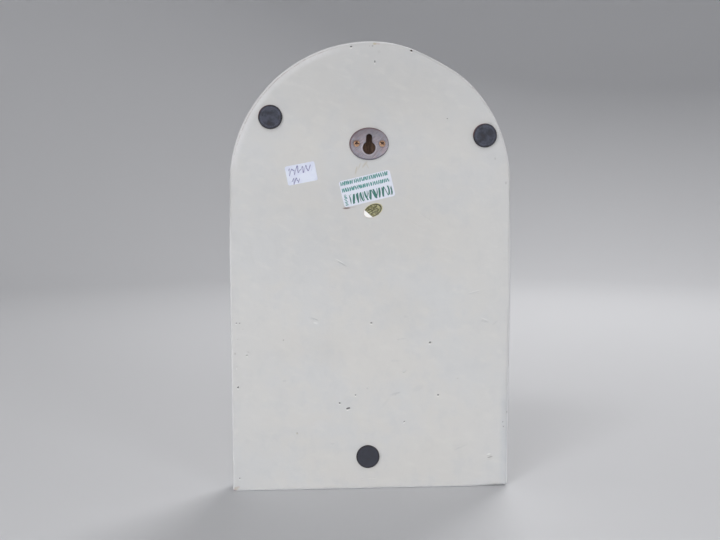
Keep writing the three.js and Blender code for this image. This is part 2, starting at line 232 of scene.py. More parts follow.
class Look:
    # a material under construction
    def __init__(self, name, **fixed):
        self.material = bpy.data.materials.new(name)
        self.material.use_nodes = True
        self.tree = self.material.node_tree
        self.tree.nodes.clear()
        self.shader = self.tree.nodes.new("ShaderNodeBsdfPrincipled")
        output = self.tree.nodes.new("ShaderNodeOutputMaterial")
        self.tree.links.new(self.shader.outputs[0], output.inputs["Surface"])
        self.feed(**fixed)
        self.coordinates = self.node("ShaderNodeTexCoord", output="Object")

    def node(self, kind, settings=None, inputs=None, output=0):
        node = self.tree.nodes.new(kind)
        for name, value in (settings or {}).items():
            setattr(node, name, value)
        for name, value in (inputs or {}).items():
            self.put(node.inputs[name], value)
        return Socket(self, node.outputs[output])

    def put(self, socket, value):
        if isinstance(value, Socket):
            self.tree.links.new(value.socket, socket)
        else:
            socket.default_value = (*value, 1) if socket.type == "RGBA" else value

    def feed(self, **inputs):
        for name, value in inputs.items():
            self.put(self.shader.inputs[name.replace("_", " ")], value)

    def maths(self, operation, *values):
        return self.node("ShaderNodeMath", {"operation": operation}, dict(enumerate(values)))

    def larger(self, *values):
        total = values[0]
        for value in values[1:]:
            total = self.maths("MAXIMUM", total, value)
        return total

    def zone(self, places, limits, mask=None):
        # a smooth rise along each coordinate that has limits, all multiplied together
        for name, ends in limits.items():
            rise = self.rise(places[name], *ends)
            mask = mask * rise if mask else rise
        return mask

    def between(self, mask, value, low, high, soft):
        # the mask, fading out past two ends
        mask = mask * self.rise(value, low - soft, low + soft)
        return mask * self.rise(value, high + soft, high - soft)

    def hypot(self, first, second):
        return self.maths("SQRT", first * first + second * second)

    def rise(self, value, low, high, top=1.0):
        # a smooth step from 0 to top as value goes from low to high
        return self.node("ShaderNodeMapRange", {"interpolation_type": "SMOOTHSTEP"}, {
            "Value": value, "From Min": low, "From Max": high, "To Min": 0.0, "To Max": top})

    def mix(self, factor, first, second):
        return self.node("ShaderNodeMix", {"data_type": "RGBA"}, {
            "Factor": factor, 6: first, 7: second}, output=2)

    def coats(self, base, *layers):
        # tints laid over a base one after another, each through its own mask
        for mask, tint in layers:
            base = self.mix(mask, base, tint)
        return base

    def mapped(self, size=(1, 1, 1), turn=0.0, place=(0, 0, 0)):
        # the object's coordinates from a place, turned about Y, in steps of so many mm
        return self.node("ShaderNodeMapping", {"vector_type": "TEXTURE"}, {
            "Vector": self.coordinates, "Location": place, "Rotation": (0, turn, 0),
            "Scale": [side * mm for side in size]})

    def noise(self, vector, scale, detail=3.0, roughness=0.55):
        return self.node("ShaderNodeTexNoise", {}, {
            "Vector": vector, "Scale": scale, "Detail": detail, "Roughness": roughness})

    def noises(self, vector, grains):
        # one noise for each scale, detail and roughness
        return [self.noise(vector, *grain) for grain in grains.values()]

    def streaks(self, size, turn=0.0, detail=3.0, roughness=0.55):
        # a noise drawn out to so many mm along each axis
        return self.noise(self.mapped(size, turn), 1, detail, roughness)

    def parts(self, vector):
        split = self.node("ShaderNodeSeparateXYZ", {}, {"Vector": vector}).socket.node
        return [Socket(self, output) for output in split.outputs]

    def length(self, vector):
        return self.node("ShaderNodeVectorMath", {"operation": "LENGTH"}, {0: vector}, output="Value")

    def bump(self, height, distance, strength, normal=None):
        # a bump of so many mm, over the one before
        inputs = {"Height": height, "Distance": distance * mm, "Strength": strength}
        if normal:
            inputs["Normal"] = normal
        return self.node("ShaderNodeBump", {}, inputs, output="Normal")


def colour(red, green, blue):
    # a screen colour of 0 to 255 as the linear one that the shaders take
    channels = np.array([red, green, blue]) / 255
    curved = ((channels + 0.055) / 1.055) ** 2.4
    return tuple(np.where(channels < 0.04045, channels / 12.92, curved).tolist())


# The camera, the lights and the floor
view = {
    "place": (0.0526, 0.8025, -0.0212),   # metres
    "target": (0.00742, -0.002, -0.10645),
    "roll": -0.133,                       # degrees
    "lens": 50.15,
    "sensor": 36.0,
}
lights = {
    # name: place, target, side in metres, power in watts, spread in degrees, colour
    "key": ((1.1, 1.9, 2.0), (0, 0.2, -0.9), 1.0, 29.4, 180, (1.0, 0.99, 0.975)),
    "left": ((1.05, 1.45, 0.1), (0, 0, -0.2), 0.45, 0.8, 75, (1.0, 0.995, 0.99)),
    "right": ((-0.9, 1.35, 0.65), (0, 0, -0.15), 0.5, 1.1, 100, (1.0, 0.99, 0.98)),
    "low": ((0.1, 1.75, 0.15), (0, 0, -0.4), 0.5, 1.5, 65, (1.0, 1.0, 0.998)),
    "front": ((-0.6, -1.2, 1.1), (0, 0, -0.1), 0.9, 19.0, 180, (1.0, 0.99, 0.98)),
}
studio = {
    "flat": 1.5, "curve": 0.7, "wall": 1.5,   # metres: the floor's radius, its bend and the wall's height
    "sky": 0.15, "skyTint": (0.98, 0.98, 1.0),
    "paper": colour(206, 207, 210),
}


def addCamera():
    data = bpy.data.cameras.new("camera")
    data.lens = view["lens"]
    data.sensor_width = view["sensor"]
    data.clip_start = 0.01
    camera = newObject(data)
    place = Vector(view["place"])
    camera.location = place
    camera.rotation_mode = "QUATERNION"
    turn = (Vector(view["target"]) - place).to_track_quat("-Z", "Y")
    camera.rotation_quaternion = turn @ Quaternion((0, 0, 1), math.radians(view["roll"]))
    bpy.context.scene.camera = camera


def addLights():
    for name, (place, target, side, power, spread, tint) in lights.items():
        data = bpy.data.lights.new(name, "AREA")
        data.shape = "SQUARE"
        data.size = side
        data.energy = power
        data.spread = math.radians(spread)
        data.color = tint
        lamp = newObject(data)
        lamp.location = place
        lamp.rotation_euler = (Vector(target) - Vector(place)).to_track_quat("-Z", "Y").to_euler()
    world = bpy.data.worlds.new("sky")
    world.use_nodes = True
    background = world.node_tree.nodes["Background"]
    background.inputs["Color"].default_value = (*studio["skyTint"], 1)
    background.inputs["Strength"].default_value = studio["sky"]
    bpy.context.scene.world = world


def addFloor():
    # a flat round floor that curves up into a wall all round: radius and height along the profile,
    # turned about the vertical axis
    turns = fullTurn(96)
    bend = np.radians(np.linspace(0, 90, 16))
    radii = [0.05, studio["flat"] / 2, *(studio["flat"] + studio["curve"] * np.sin(bend))]
    heights = [0, 0, *(studio["curve"] * (1 - np.cos(bend)))]
    radii = np.array(radii + [studio["flat"] + studio["curve"]])
    heights = np.array(heights + [studio["curve"] + studio["wall"]])
    points = np.stack([
        radii[:, None] * np.cos(turns), radii[:, None] * np.sin(turns),
        footZ + heights[:, None] + 0 * turns], -1)
    index = np.arange(points.shape[0] * points.shape[1]).reshape(points.shape[:2])
    faces = gridFaces(index, closed=True)[:, ::-1].tolist() + [index[0].tolist()]
    floor = newObject(newMesh("studio_floor", points, faces, closed=False))
    smoothFaces(floor.data)
    floor.data.materials.append(Look("studio_paper", Roughness=0.9, Base_Color=studio["paper"]).material)


addCamera()
addLights()
addFloor()
bpy.context.scene.view_settings.view_transform = "Standard"
print("studio ready")


# The casting
body = {
    "halfWidth": castingWidth / 2,
    "archRadius": castingWidth / 2 - 1,
    "easeFrom": 190,                 # height at which the sides start to lean in to the arch
    "rim": castingThickness,
    "field": castingThickness - 9,
    "draft": 1,
    "frontArris": 2,
    "rimInner": 9,
    "bead": (12.4, 2.6, 19),         # inset, radius and depth of its middle
    "cove": (15, 21),                # insets
    "backArris": (2.5, 2.5),         # inset and depth
    "wearReach": 7,
    "wornShoulder": (117, 12, 1.8),  # angle on the arch, spread and loss
    "wornFoot": (78, 112, 1),        # from, to and loss, on the side of -X
    "wornCorners": (2.8, 2.2),       # radius of the foot's corners at -X and at +X
    "filed": (44, 19, 4.5, 0.8),     # angle on the arch, spread, inset and depth of the filed bevel
    "slack": (62, 46, 3.5, 0.5),     # height, spread, inset and depth of the softer edge on the -X side
    "across": 150,                   # cells of the grid across and up, with the arch's last 45 degrees
    "side": 190,
    "quarter": 65,
    "coarser": 5,                    # the front's field has a grid this many times coarser
}
body["archHeight"] = castingHeight - body["archRadius"]
# length, height and flatness of each wave: of the back, of the front's field and along the back edge
backWaves = [
    (210, 0.22, 1.3), (96, 0.12, 0.5), (61, 0.09, 0.4),
    (38, 0.05, 0.6), (23, 0.03, 1.5), (14, 0.018, 1.5),
]
fieldWaves = [(120, 0.08, 1.5), (47, 0.05, 1.5), (21, 0.03, 1.5)]
edgeWaves = [(37, 0.25, 1.5), (19, 0.15, 1.5), (9, 0.07, 1.5)]

plateLow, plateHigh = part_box("keyhole_hanger")
plateMiddle = middleOf("keyhole_hanger")
plateHalf = [size / 2 / mm for size in (plateHigh - plateLow)]
screwNodes = ("hanger_screw_left", "hanger_screw_right")


def backDepth(across, height):
    # the slow hollows of the hand-smoothed back, which fade out under the hanger's plate
    reach = np.hypot((across - plateMiddle[0]) / plateHalf[0], (height - plateMiddle[1]) / plateHalf[2])
    return ripples(across, height, backWaves, 5) * smoothRise(reach, 1.0, 1.7)


def outlineStations():
    # anticlockwise from the foot's left corner, seen from the front: the foot is 0, the right side 1,
    # the arch 2 and the left side 3, each with its share done
    arch = 2 * body["quarter"] + body["across"]
    counts = [body["across"], body["side"], arch, body["side"]]
    stretch = np.repeat(np.arange(4), counts)
    along = np.concatenate([np.arange(count) / count for count in counts])
    # the arch's middle half has its own number of cells
    share = np.arange(arch) / arch
    edge = body["quarter"] / arch
    along[stretch == 2] = np.interp(share, [0, edge, 1 - edge, 1], [0, 0.25, 0.75, 1])
    return stretch, along


stretch, along = outlineStations()


def outline(inset):
    # the outline moved in by an inset, as across and height: straight foot, sides that lean in by
    # 3t^2 - 2t^3 near the arch, and a half circle with the worn shoulder taken off
    inset = np.broadcast_to(inset, along.shape)
    wear = 1 - smoothRise(inset, 0, body["wearReach"])
    low, high, loss = body["wornFoot"]

    def footAt(across):
        return inset + wear * loss * smoothRise(-across, low, high)

    flat = body["halfWidth"] - inset
    sign = np.where(stretch == 1, 1, -1)
    corner = footAt(sign * flat)
    spring = body["archHeight"]
    height = corner + (spring - corner) * np.where(stretch == 1, along, 1 - along)
    lean = smoothRise(height, body["easeFrom"], spring) * (body["halfWidth"] - body["archRadius"])
    side = [sign * (flat - lean), height]
    footAcross = (2 * along - 1) * flat
    foot = [footAcross, footAt(footAcross)]
    angle, spread, worn = body["wornShoulder"]
    radius = body["archRadius"] - inset - wear * worn * bell(180 * along, angle, spread)
    arch = [radius * np.cos(math.pi * along), spring + radius * np.sin(math.pi * along)]
    pick = [stretch == 0, stretch == 2]
    across, height = [np.select(pick, [foot[i], arch[i]], side[i]) for i in (0, 1)]

    # what lies outside a corner's quarter circle is drawn in to it, towards the circle's middle
    radius = np.maximum(np.where(across < 0, *body["wornCorners"]) - inset, 0)
    aside = np.abs(across) - (flat - radius)
    below = footAt(np.sign(across) * flat) + radius - height
    away = np.maximum(np.hypot(aside, below), 1e-6)
    share = np.where((aside > 0) & (below > 0) & (away > radius), 1 - radius / away, 0)
    return across - np.sign(across) * aside * share, height + below * share


def backArris():
    # inset and depth of the rounded back edge at each station: a plain round, the filed bevel on one
    # shoulder and a softer stretch low on the other side
    angle, spread, inset, depth = body["filed"]
    filed = np.where(stretch == 2, bell(180 * along, angle, spread), 0)
    height, reach, slackInset, slackDepth = body["slack"]
    slack = np.where(stretch == 3, bell((1 - along) * body["archHeight"], height, reach), 0)
    wander = ripples(*outline(0), edgeWaves, 11)
    return (body["backArris"][0] + inset * filed + slackInset * slack + wander,
            body["backArris"][1] + depth * filed + slackDepth * slack)


def bodyRings():
    # inset and depth of each ring from the flat back, round the edge and over the moulding
    insets, depths = backArris()
    rings = [(insets * (1 - math.sin(turn)), depths * (1 - math.cos(turn)))
             for turn in np.radians([0, 18, 36, 54, 72, 90])]
    for turn in np.radians([0, 30, 60, 90]):
        rings.append((body["draft"] + body["frontArris"] * (1 - math.cos(turn)),
                      body["rim"] - body["frontArris"] * (1 - math.sin(turn))))
    rings.append((body["rimInner"], body["rim"]))
    inset, radius, depth = body["bead"]
    for turn in np.radians([180, 150, 120, 90, 60, 30, 0]):
        rings.append((inset + radius * math.cos(turn), depth + radius * math.sin(turn)))
    outer, inner = body["cove"]
    radius = inner - outer
    for turn in np.radians([5, 25, 45, 67, 90]):
        rings.append((inner - radius * math.cos(turn), body["field"] + radius * (1 - math.sin(turn))))
    return rings


def patch(ring, across, up):
    # the inside of a closed ring as a Coons patch: linear between foot and crown, plus linear between
    # the two sides, less the bilinear patch of the four corners
    foot, right, crown, left = np.split(ring, [across, across + up, 2 * across + up])
    foot = np.concatenate([foot, right[:1]])
    right = np.concatenate([right, crown[:1]])
    crown = np.concatenate([crown, left[:1]])[::-1]
    left = np.concatenate([left, ring[:1]])[::-1]
    u = np.linspace(0, 1, across + 1)[None, :, None]
    v = np.linspace(0, 1, up + 1)[:, None, None]
    corners = (1 - v) * ((1 - u) * foot[0] + u * foot[-1]) + v * ((1 - u) * crown[0] + u * crown[-1])
    return (1 - v) * foot + v * crown + (1 - u) * left[:, None] + u * right[:, None] - corners


def patchIndex(ringIndex, across, up, first):
    # vertex numbers of a patch: its border is the ring's and its inside is new
    index = np.zeros((up + 1, across + 1), int)
    index[0, :] = ringIndex[:across + 1]
    index[:, -1] = ringIndex[across:across + up + 1]
    index[-1, ::-1] = ringIndex[across + up:2 * across + up + 1]
    index[::-1, 0] = np.append(ringIndex, ringIndex[0])[2 * across + up:]
    index[1:-1, 1:-1] = first + np.arange((up - 1) * (across - 1)).reshape(up - 1, across - 1)
    return index


def castingMesh():
    # the rings joined by quads, closed by a patch over the back and by a coarser one over the field,
    # with a strip of triangles from the last ring to the coarser patch
    rings = []
    for inset, depth in bodyRings():
        across, height = outline(inset)
        depth = np.broadcast_to(depth, across.shape)
        hollow = backDepth(across, height) * smoothRise(depth, 3, 0)
        rings.append(np.stack([across, height, depth + hollow], -1))
    size = len(stretch)
    points = np.concatenate(rings)
    index = np.arange(len(points)).reshape(-1, size)
    faces = gridFaces(index, closed=True).tolist()
    across, up = body["across"], body["side"] + body["quarter"]

    back = patch(rings[0], across, up)
    back[..., 2] = backDepth(back[..., 0], back[..., 1])
    backIndex = patchIndex(index[0], across, up, len(points))
    points = np.concatenate([points, back[1:-1, 1:-1].reshape(-1, 3)])
    faces += gridFaces(backIndex)[:, ::-1].tolist()

    step = body["coarser"]
    inset = body["cove"][1] + 2
    ring = np.stack([*outline(inset), np.full(size, body["field"])], -1)[::step]
    field = patch(ring, across // step, up // step)
    swell = ripples(field[..., 0], field[..., 1], fieldWaves, 8)
    field[1:-1, 1:-1, 2] = body["field"] + swell[1:-1, 1:-1]
    ringIndex = len(points) + np.arange(size // step)
    points = np.concatenate([points, ring])
    fieldIndex = patchIndex(ringIndex, across // step, up // step, len(points))
    points = np.concatenate([points, field[1:-1, 1:-1].reshape(-1, 3)])
    faces += gridFaces(fieldIndex).tolist()
    fine = index[-1].reshape(-1, step)
    coarse = ringIndex
    for k in range(step):
        a = fine[:, k]
        b = fine[:, k + 1] if k + 1 < step else np.roll(fine[:, 0], -1)
        apex = coarse if k < (step + 1) // 2 else np.roll(coarse, -1)
        faces += np.stack([a, b, apex], -1).tolist()
    middle = fine[:, (step + 1) // 2]
    faces += np.stack([coarse, middle, np.roll(coarse, -1)], -1).tolist()
    return newMesh("plaque_casting_painted", onPlaque(*points.T), faces)


# The relief: each stroke leaves its base at a heading and turns by bend evenly and by curl ever faster
leaves = [
    {"base": (1, 40), "heading": 18, "bend": 40, "length": 88, "width": 12, "full": 0.9, "rise": 8},
    {"base": (1, 52), "heading": 66, "bend": 26, "length": 60, "width": 9, "full": 0.9, "rise": 8.5},
    {"base": (1, 134), "heading": 78, "bend": -75, "length": 62, "width": 8.5, "full": 0.85, "rise": 7.5},
    {"base": (1, 208), "heading": 62, "bend": -85, "length": 56, "width": 8, "full": 0.85, "rise": 7},
]
scrolls = [
    {"base": (2, 74), "heading": 86, "bend": -84, "curl": -430, "length": 208, "width": 4.6, "rise": 6.5},
    {"base": (2, 160), "heading": 84, "bend": -92, "curl": -430, "length": 148, "width": 3.8, "rise": 6},
]
budSwell = 1.15
palmette = {
    "height": 240, "pairs": 4, "spacing": 24, "bend": 4.8, "curl": -2,
    "length": 84, "shorter": 5.5,     # each pair of petals is this much shorter than the one before
}
petals = {"width": 8.6, "full": 1.75, "rise": 8}
stem = {"from": 42, "to": 234, "halfWidth": 3.2, "rise": 5}
bosses = [                            # place, half sizes and rise
    ((0, 238), (8, 6), 9), ((0, 160), (6.5, 5), 7.5), ((0, 74), (5.5, 5), 7.5), ((0, 44), (9, 7), 9),
]
reliefRoot = 1.5
vein = {"count": 9, "lean": 1.1, "depth": 0.055}


def strokeMesh(name, line, side, widthOf, liftOf, section, steps, power=1, crowding=1):
    # a section carried along a line whose heading is heading + bend t + curl t^power; width and lift
    # are functions of t, the share of the length done, and of the place across the section
    t = (np.arange(steps + 1) / steps) ** crowding
    middle = (t[1:] + t[:-1]) / 2

    def heading(share):
        return np.radians(line["heading"] + line["bend"] * share + line.get("curl", 0) * share ** power)

    step = np.diff(t) * line["length"]
    across = line["base"][0] + np.concatenate([[0], np.cumsum(step * np.cos(heading(middle)))])
    height = line["base"][1] + np.concatenate([[0], np.cumsum(step * np.sin(heading(middle)))])
    across, outX, outZ = side * across, side * np.cos(heading(t)), np.sin(heading(t))
    share = np.concatenate([section, [section[-1], section[0]]])
    aside = share * widthOf(t)[:, None]
    lift = liftOf(t[:, None], section[None, :])
    depth = body["field"] + np.concatenate([lift, np.full((len(t), 2), -reliefRoot)], 1)
    return tubeMesh(name, onPlaque(across[:, None] + aside * outZ[:, None],
                                   height[:, None] - aside * outX[:, None], depth))


# the places across a leaf's and a round stalk's section, closer together towards the edges
leafSection = np.sin(np.linspace(-90, 90, 17) * math.pi / 180)
roundSection = -np.cos(np.linspace(0, 180, 13) * math.pi / 180)


def leafMesh(name, leaf, side, steps=30, power=1, veins=vein["depth"]):
    # half width w sin(pi t^full)^0.75; the section is a dome (1 - s^4) with a hollow along its middle
    # and slanting veins
    def widthOf(t):
        return leaf["width"] * np.sin(math.pi * np.clip(t, 0.015, 0.985) ** leaf["full"]) ** 0.75

    def liftOf(t, s):
        dome = (1 - s ** 4) * (0.72 + 0.28 * smoothRise(np.abs(s), 0, 0.45))
        ridge = np.abs(np.sin(math.pi * (t * vein["count"] - np.abs(s) * vein["lean"])))
        veined = veins * (ridge - 0.6) * smoothRise(np.abs(s), 0.08, 0.3) * (1 - s ** 2)
        return leaf["rise"] * (0.45 + 0.55 * np.sin(math.pi * t)) * (dome + veined)

    return strokeMesh(name, leaf, side, widthOf, liftOf, leafSection, steps, power)


def domeMesh(name, place, half, rise):
    # an oval dome: (cos turn, sin turn) of its half sizes and rise, on a short straight root
    turn = np.radians(np.concatenate([[0], np.linspace(0, 78, 8)]))[:, None]
    lift = np.where(np.arange(9)[:, None] == 0, -reliefRoot, rise * np.sin(turn))
    angle = fullTurn(32)
    across = place[0] + half[0] * np.cos(turn) * np.cos(angle)
    height = place[1] + half[1] * np.cos(turn) * np.sin(angle)
    return tubeMesh(name, onPlaque(across, height, body["field"] + lift))


def scrollMeshes(name, scroll, side):
    # a stalk whose width thins as 1 - 0.62 t, with a round bud at its tip
    def widthOf(t):
        return scroll["width"] * (1 - 0.62 * t)

    def liftOf(t, s):
        # a round section with a shallow groove along its middle
        groove = 0.16 * bell(s, 0, 0.3)
        return scroll["rise"] * (1 - 0.35 * t) * (np.sqrt(np.maximum(1 - s * s, 0)) - groove)

    stalk = strokeMesh(name, scroll, side, widthOf, liftOf, roundSection, 90, 4, 0.6)
    lastRing = len(roundSection) + 2
    tip = np.mean([vertex.co for vertex in stalk.vertices[-lastRing - 2:-2]], axis=0)
    bud = ((tip[0] - middleX) / mm, (tip[2] - footZ) / mm)
    return [stalk, domeMesh(name + "_bud", bud, (scroll["width"] * budSwell,) * 2, scroll["rise"])]


def palmettePetal(order, side):
    petal = {
        "base": (1.5 if order else 0, palmette["height"]),
        "heading": 90 - palmette["spacing"] * order,
        "bend": palmette["bend"] * order,
        "curl": palmette["curl"] * order,
        "length": palmette["length"] - palmette["shorter"] * order,
        **petals,
    }
    return leafMesh("petal", petal, side, power=3, veins=0)


def stemMesh():
    # a straight stroke of even width, whose lift is its rise times sqrt(1 - s^2)
    line = {"base": (0, stem["from"]), "heading": 90, "bend": 0, "length": stem["to"] - stem["from"]}

    def widthOf(t):
        return stem["halfWidth"] + 0 * t

    def liftOf(t, s):
        return stem["rise"] * np.sqrt(np.maximum(1 - s * s, 0)) + 0 * t

    return strokeMesh("stem", line, 1, widthOf, liftOf, roundSection, 24)


def reliefMeshes():
    shapes = [stemMesh(), palmettePetal(0, 1)]
    shapes += [domeMesh("boss", *boss) for boss in bosses]
    for side in (1, -1):
        shapes += [palmettePetal(order + 1, side) for order in range(palmette["pairs"])]
        shapes += [leafMesh("leaf", leaf, side) for leaf in leaves]
        for scroll in scrolls:
            shapes += scrollMeshes("scroll", scroll, side)
    return shapes


# The back: its pits, scratches and crumbs, and the holes behind the hanger
pits = [
    # across, height, half width, half height, depth, turn, and the mark: bare shows the bare casting, and
    # the rest show their share of grey dirt and painted shade
    (0, 139, 0.95, 0.65, 1.2, 0, "darkPit"),
    (-48, 122.3, 0.95, 0.68, 1.2, -10, "darkPit"),
    (26, 73, 0.75, 0.62, 1.0, 0, "darkPit"),
    (19, 68.5, 1.75, 0.85, 1.5, -15, "dusty"),
    (13, 79.5, 0.6, 0.6, 0.9, 0, "darkPit"),
    (-55, 78.5, 0.9, 0.75, 1.0, 0, "darkPit"),
    (-27, 56.5, 0.95, 0.42, 0.7, -35, "darkPit"),
    (71.5, 125.7, 0.5, 0.5, 0.9, 0, "faint"),
    (61, 48.6, 0.5, 0.45, 0.8, 0, "faint"),
    (-3, 348, 0.48, 0.95, 1.0, 0, "darkPit"),
    (-61, 303.4, 0.5, 0.45, 0.9, 0, "darkPit"),
    (15.8, 359.6, 0.95, 0.6, 1.1, 0, "dusty"),
    (-32, 356.6, 0.95, 0.65, 1.2, 20, "bare"),
    (109.2, 140, 0.6, 0.5, 0.8, 0, "darkPit"),
    (106.5, 140, 0.5, 0.45, 0.8, 0, "darkPit"),
    (104, 134.5, 0.7, 0.3, 0.6, 30, "painted"),
    (108, 127, 0.45, 0.5, 0.7, 0, "painted"),
    (101, 113.5, 1.1, 0.4, 0.7, 20, "painted"),
    (109.5, 104, 0.4, 0.9, 0.6, 0, "painted"),
    (108.5, 87.3, 0.7, 0.75, 1.1, 0, "darkPit"),
    (108.3, 11.3, 0.5, 0.65, 1.0, 0, "darkPit"),
    (-109.5, 51, 0.5, 0.5, 1.0, 0, "darkPit"),
    (-109.0, 55, 0.5, 0.5, 0.9, 0, "faint"),
]
scratches = [
    # from across and height, to across and height, half width, depth
    (29, 190.5, 18, 184, 0.45, 0.4),
    (31, 189, 24, 187.5, 0.3, 0.25),
    (50.5, 143.9, 43, 141.4, 0.5, 0.4),
    (-21.4, 125.2, -28.6, 125.6, 0.4, 0.3),
    (-15.5, 78.8, -23.5, 81, 0.45, 0.35),
    (-89, 140.9, -96, 138.8, 0.4, 0.3),
    (-99, 136, -104, 140.5, 0.35, 0.2),
    (-80, 160, -92, 163, 0.3, 0.2),
    (-58, 195.5, -64, 197, 0.35, 0.25),
    (-68, 33, -78, 37.5, 0.45, 0.2),
    (-96.5, 23.2, -102, 24.6, 0.6, 0.4),
    (100.5, 117.5, 97, 114, 0.35, 0.25),
    (10, 8.5, -8, 9.6, 0.3, 0.2),
    (-38, 228, -52, 219, 0.35, 0.2),
    (-30, 222, -44, 214, 0.3, 0.18),
    (25, 296, 20, 293.5, 0.35, 0.25),
]
crumbs = [
    # across, height, half width, half height, rise, turn: lumps of paint
    (-98.2, 26.8, 2.4, 0.8, 0.35, -12),
    (-27, 98.4, 1.6, 1.0, 0.3, -10),
    (3, 85, 1.0, 0.8, 0.3, 0),
    (-96, 300, 1.4, 0.9, 0.3, 40),
]
nailPocket = {"half": (7, 10, 7), "below": 5.6, "square": 0.35, "rough": 0.06}   # mm below the seat
pilotHole = {"radius": 1.6, "depth": 11.3}
# how much of the bare casting a cut face shows, and at the lower values how much grey dirt and painted
# shade the pits show; a marker material carries it through the booleans
barenessAndShade = {"bare": 1.0, "dusty": 0.68, "darkPit": 0.6, "faint": 0.42, "painted": 0.0}
marks = {name: bpy.data.materials.new(name) for name in barenessAndShade}


def lumpMesh(name, place, half, turn=0, square=1.0, rough=0.1, seed=1, rings=9, sides=18, mark=None):
    # a closed lump about a point of the back: half sizes times the cos and sin of its two angles, each
    # to the power square, times 1 plus a few sines, and turned in the plane of the back
    draw = np.random.default_rng(seed)
    up = np.radians(np.linspace(-90, 90, rings + 2)[1:-1])[:, None]
    about = fullTurn(sides)[None, :]
    swell = 1 + 0 * up * about
    for order in (2, 3, 5):
        starts = draw.uniform(0, 2 * math.pi, 2)
        wave = rough / order * np.sin(order * about + starts[0] + 2 * up)
        swell += wave * np.cos(order * up + starts[1])

    def bent(value):
        return np.sign(value) * np.abs(value) ** square

    aside = half[0] * bent(np.cos(up)) * bent(np.cos(about)) * swell
    along = half[1] * bent(np.cos(up)) * bent(np.sin(about)) * swell
    depth = half[2] * bent(np.sin(up)) * swell
    angle = math.radians(turn)
    across = place[0] + aside * math.cos(angle) - along * math.sin(angle)
    height = place[1] + aside * math.sin(angle) + along * math.cos(angle)
    mesh = tubeMesh(name, onPlaque(across, height, backDepth(*place) + depth))
    if mark:
        mesh.materials.append(marks[mark])
    return mesh


def scratchMesh(number, scratch):
    # a long thin lump from end to end
    fromAcross, fromHeight, toAcross, toHeight, halfWidth, depth = scratch
    run, climb = toAcross - fromAcross, toHeight - fromHeight
    place = ((fromAcross + toAcross) / 2, (fromHeight + toHeight) / 2)
    half = (math.hypot(run, climb) / 2, halfWidth, depth)
    turn = math.degrees(math.atan2(climb, run))
    return lumpMesh("scratch", place, half, turn, rough=0.25, seed=number, sides=28, mark="painted")


def holeMeshes():
    shapes = [lumpMesh("pit", (across, height), (wide, high, depth), turn, seed=number, mark=mark)
              for number, (across, height, wide, high, depth, turn, mark) in enumerate(pits)]
    shapes += [scratchMesh(number, scratch) for number, scratch in enumerate(scratches)]
    seat = (-middleX / mm, -footZ / mm)
    shapes.append(lumpMesh("pocket", (seat[0], seat[1] - nailPocket["below"]), nailPocket["half"],
                           square=nailPocket["square"], rough=nailPocket["rough"],
                           seed=7, rings=25, sides=60, mark="bare"))
    radius = pilotHole["radius"]
    for node in screwNodes:
        shapes.append(lumpMesh("pilot_hole", middleOf(node), (radius, radius, pilotHole["depth"]),
                               square=0.5, rough=0.03, rings=13, mark="bare"))
    return shapes


def markFaces(piece):
    # the faces that a marked shape has cut get a value as an attribute that the paint reads: the share of
    # bare casting they show, and at lower values the share of grey dirt and painted shade
    mesh = piece.data
    worth = np.array([barenessAndShade.get(material.name, 0) if material else 0 for material in mesh.materials])
    numbers = np.zeros(len(mesh.polygons), np.int32)
    mesh.polygons.foreach_get("material_index", numbers)
    layer = mesh.attributes.new("barenessAndShade", "FLOAT", "FACE")
    layer.data.foreach_set("value", worth[numbers].astype(np.float32))


casting = newObject(castingMesh())
casting.data.materials.append(marks["painted"])
print("casting body", len(casting.data.polygons))
carve(casting, reliefMeshes(), "UNION")
carve(casting, [lumpMesh("crumb", crumb[:2], crumb[2:5], crumb[5], seed=number)
                for number, crumb in enumerate(crumbs)], "UNION")
carve(casting, holeMeshes(), "DIFFERENCE")
markFaces(casting)
print("casting with relief and marks", len(casting.data.polygons))


# The paint
paint = {
    "warm": colour(203, 202, 200),
    "cool": colour(200, 201, 202),
    "shade": colour(178, 178, 178),
    "dab": colour(211, 210, 207),       # thicker dabs of paint
    # painted highlight: lighter paint along the edges and on the filed shoulder
    "speckledHighlight": colour(222, 222, 224),    # along the edges, and on the filed shoulder
    "bare": colour(78, 58, 46),
    "bareLight": colour(104, 80, 66),
    "bareDark": colour(48, 30, 26),
    "wash": colour(150, 122, 88),       # the brown wiped into the front's hollows
    "grime": colour(140, 116, 112),
    # grey dirt and painted shade in the pits
    "pitDirtAndShade": colour(92, 92, 94),
    # painted shade: the bluish darker band low on the side of -X, where the edge rolls away from the light
    "blue": colour(172, 180, 190),      # the bluish band low on the side of -X
    "rough": (0.5, 0.7),                # from the smooth to the mottled places
}
# scale per mm, detail and roughness of each noise
paintGrains = {"cloud": (0.013, 3), "mottle": (0.075, 4, 0.6), "speckle": (0.35, 3, 0.7), "grain": (1.7, 2)}
paintZones = {
    # where each mask starts and where it is full, in mm: inset is from the outline, over is above the
    # spring of the arch, and depth is from the back
    "back": {"depth": (9, 5)},
    "front": {"depth": (11.5, 12.3)},
    "border": {"inset": (60, 8)},
    "filed": {"inset": (8.5, 3.5), "across": (12, 44), "over": (0, 34), "depth": (9, 5)},
    "low": {"height": (100, 62), "across": (-105, -109.5), "depth": (9, 5)},
    "line": {"across": (22, 40), "over": (14, 34), "depth": (9, 5)},
    "grimy": {"across": (-30, -60), "over": (12, 40)},
    "wash": {"depth": (17.5, 13.2), "inset": (8.5, 11)},
    "shadeBehindSlot": {"height": (283, 287.5)},
}
grimeInset = {"line": 2.8, "wander": 1.2, "grimy": 2.2, "groove": 9.4}
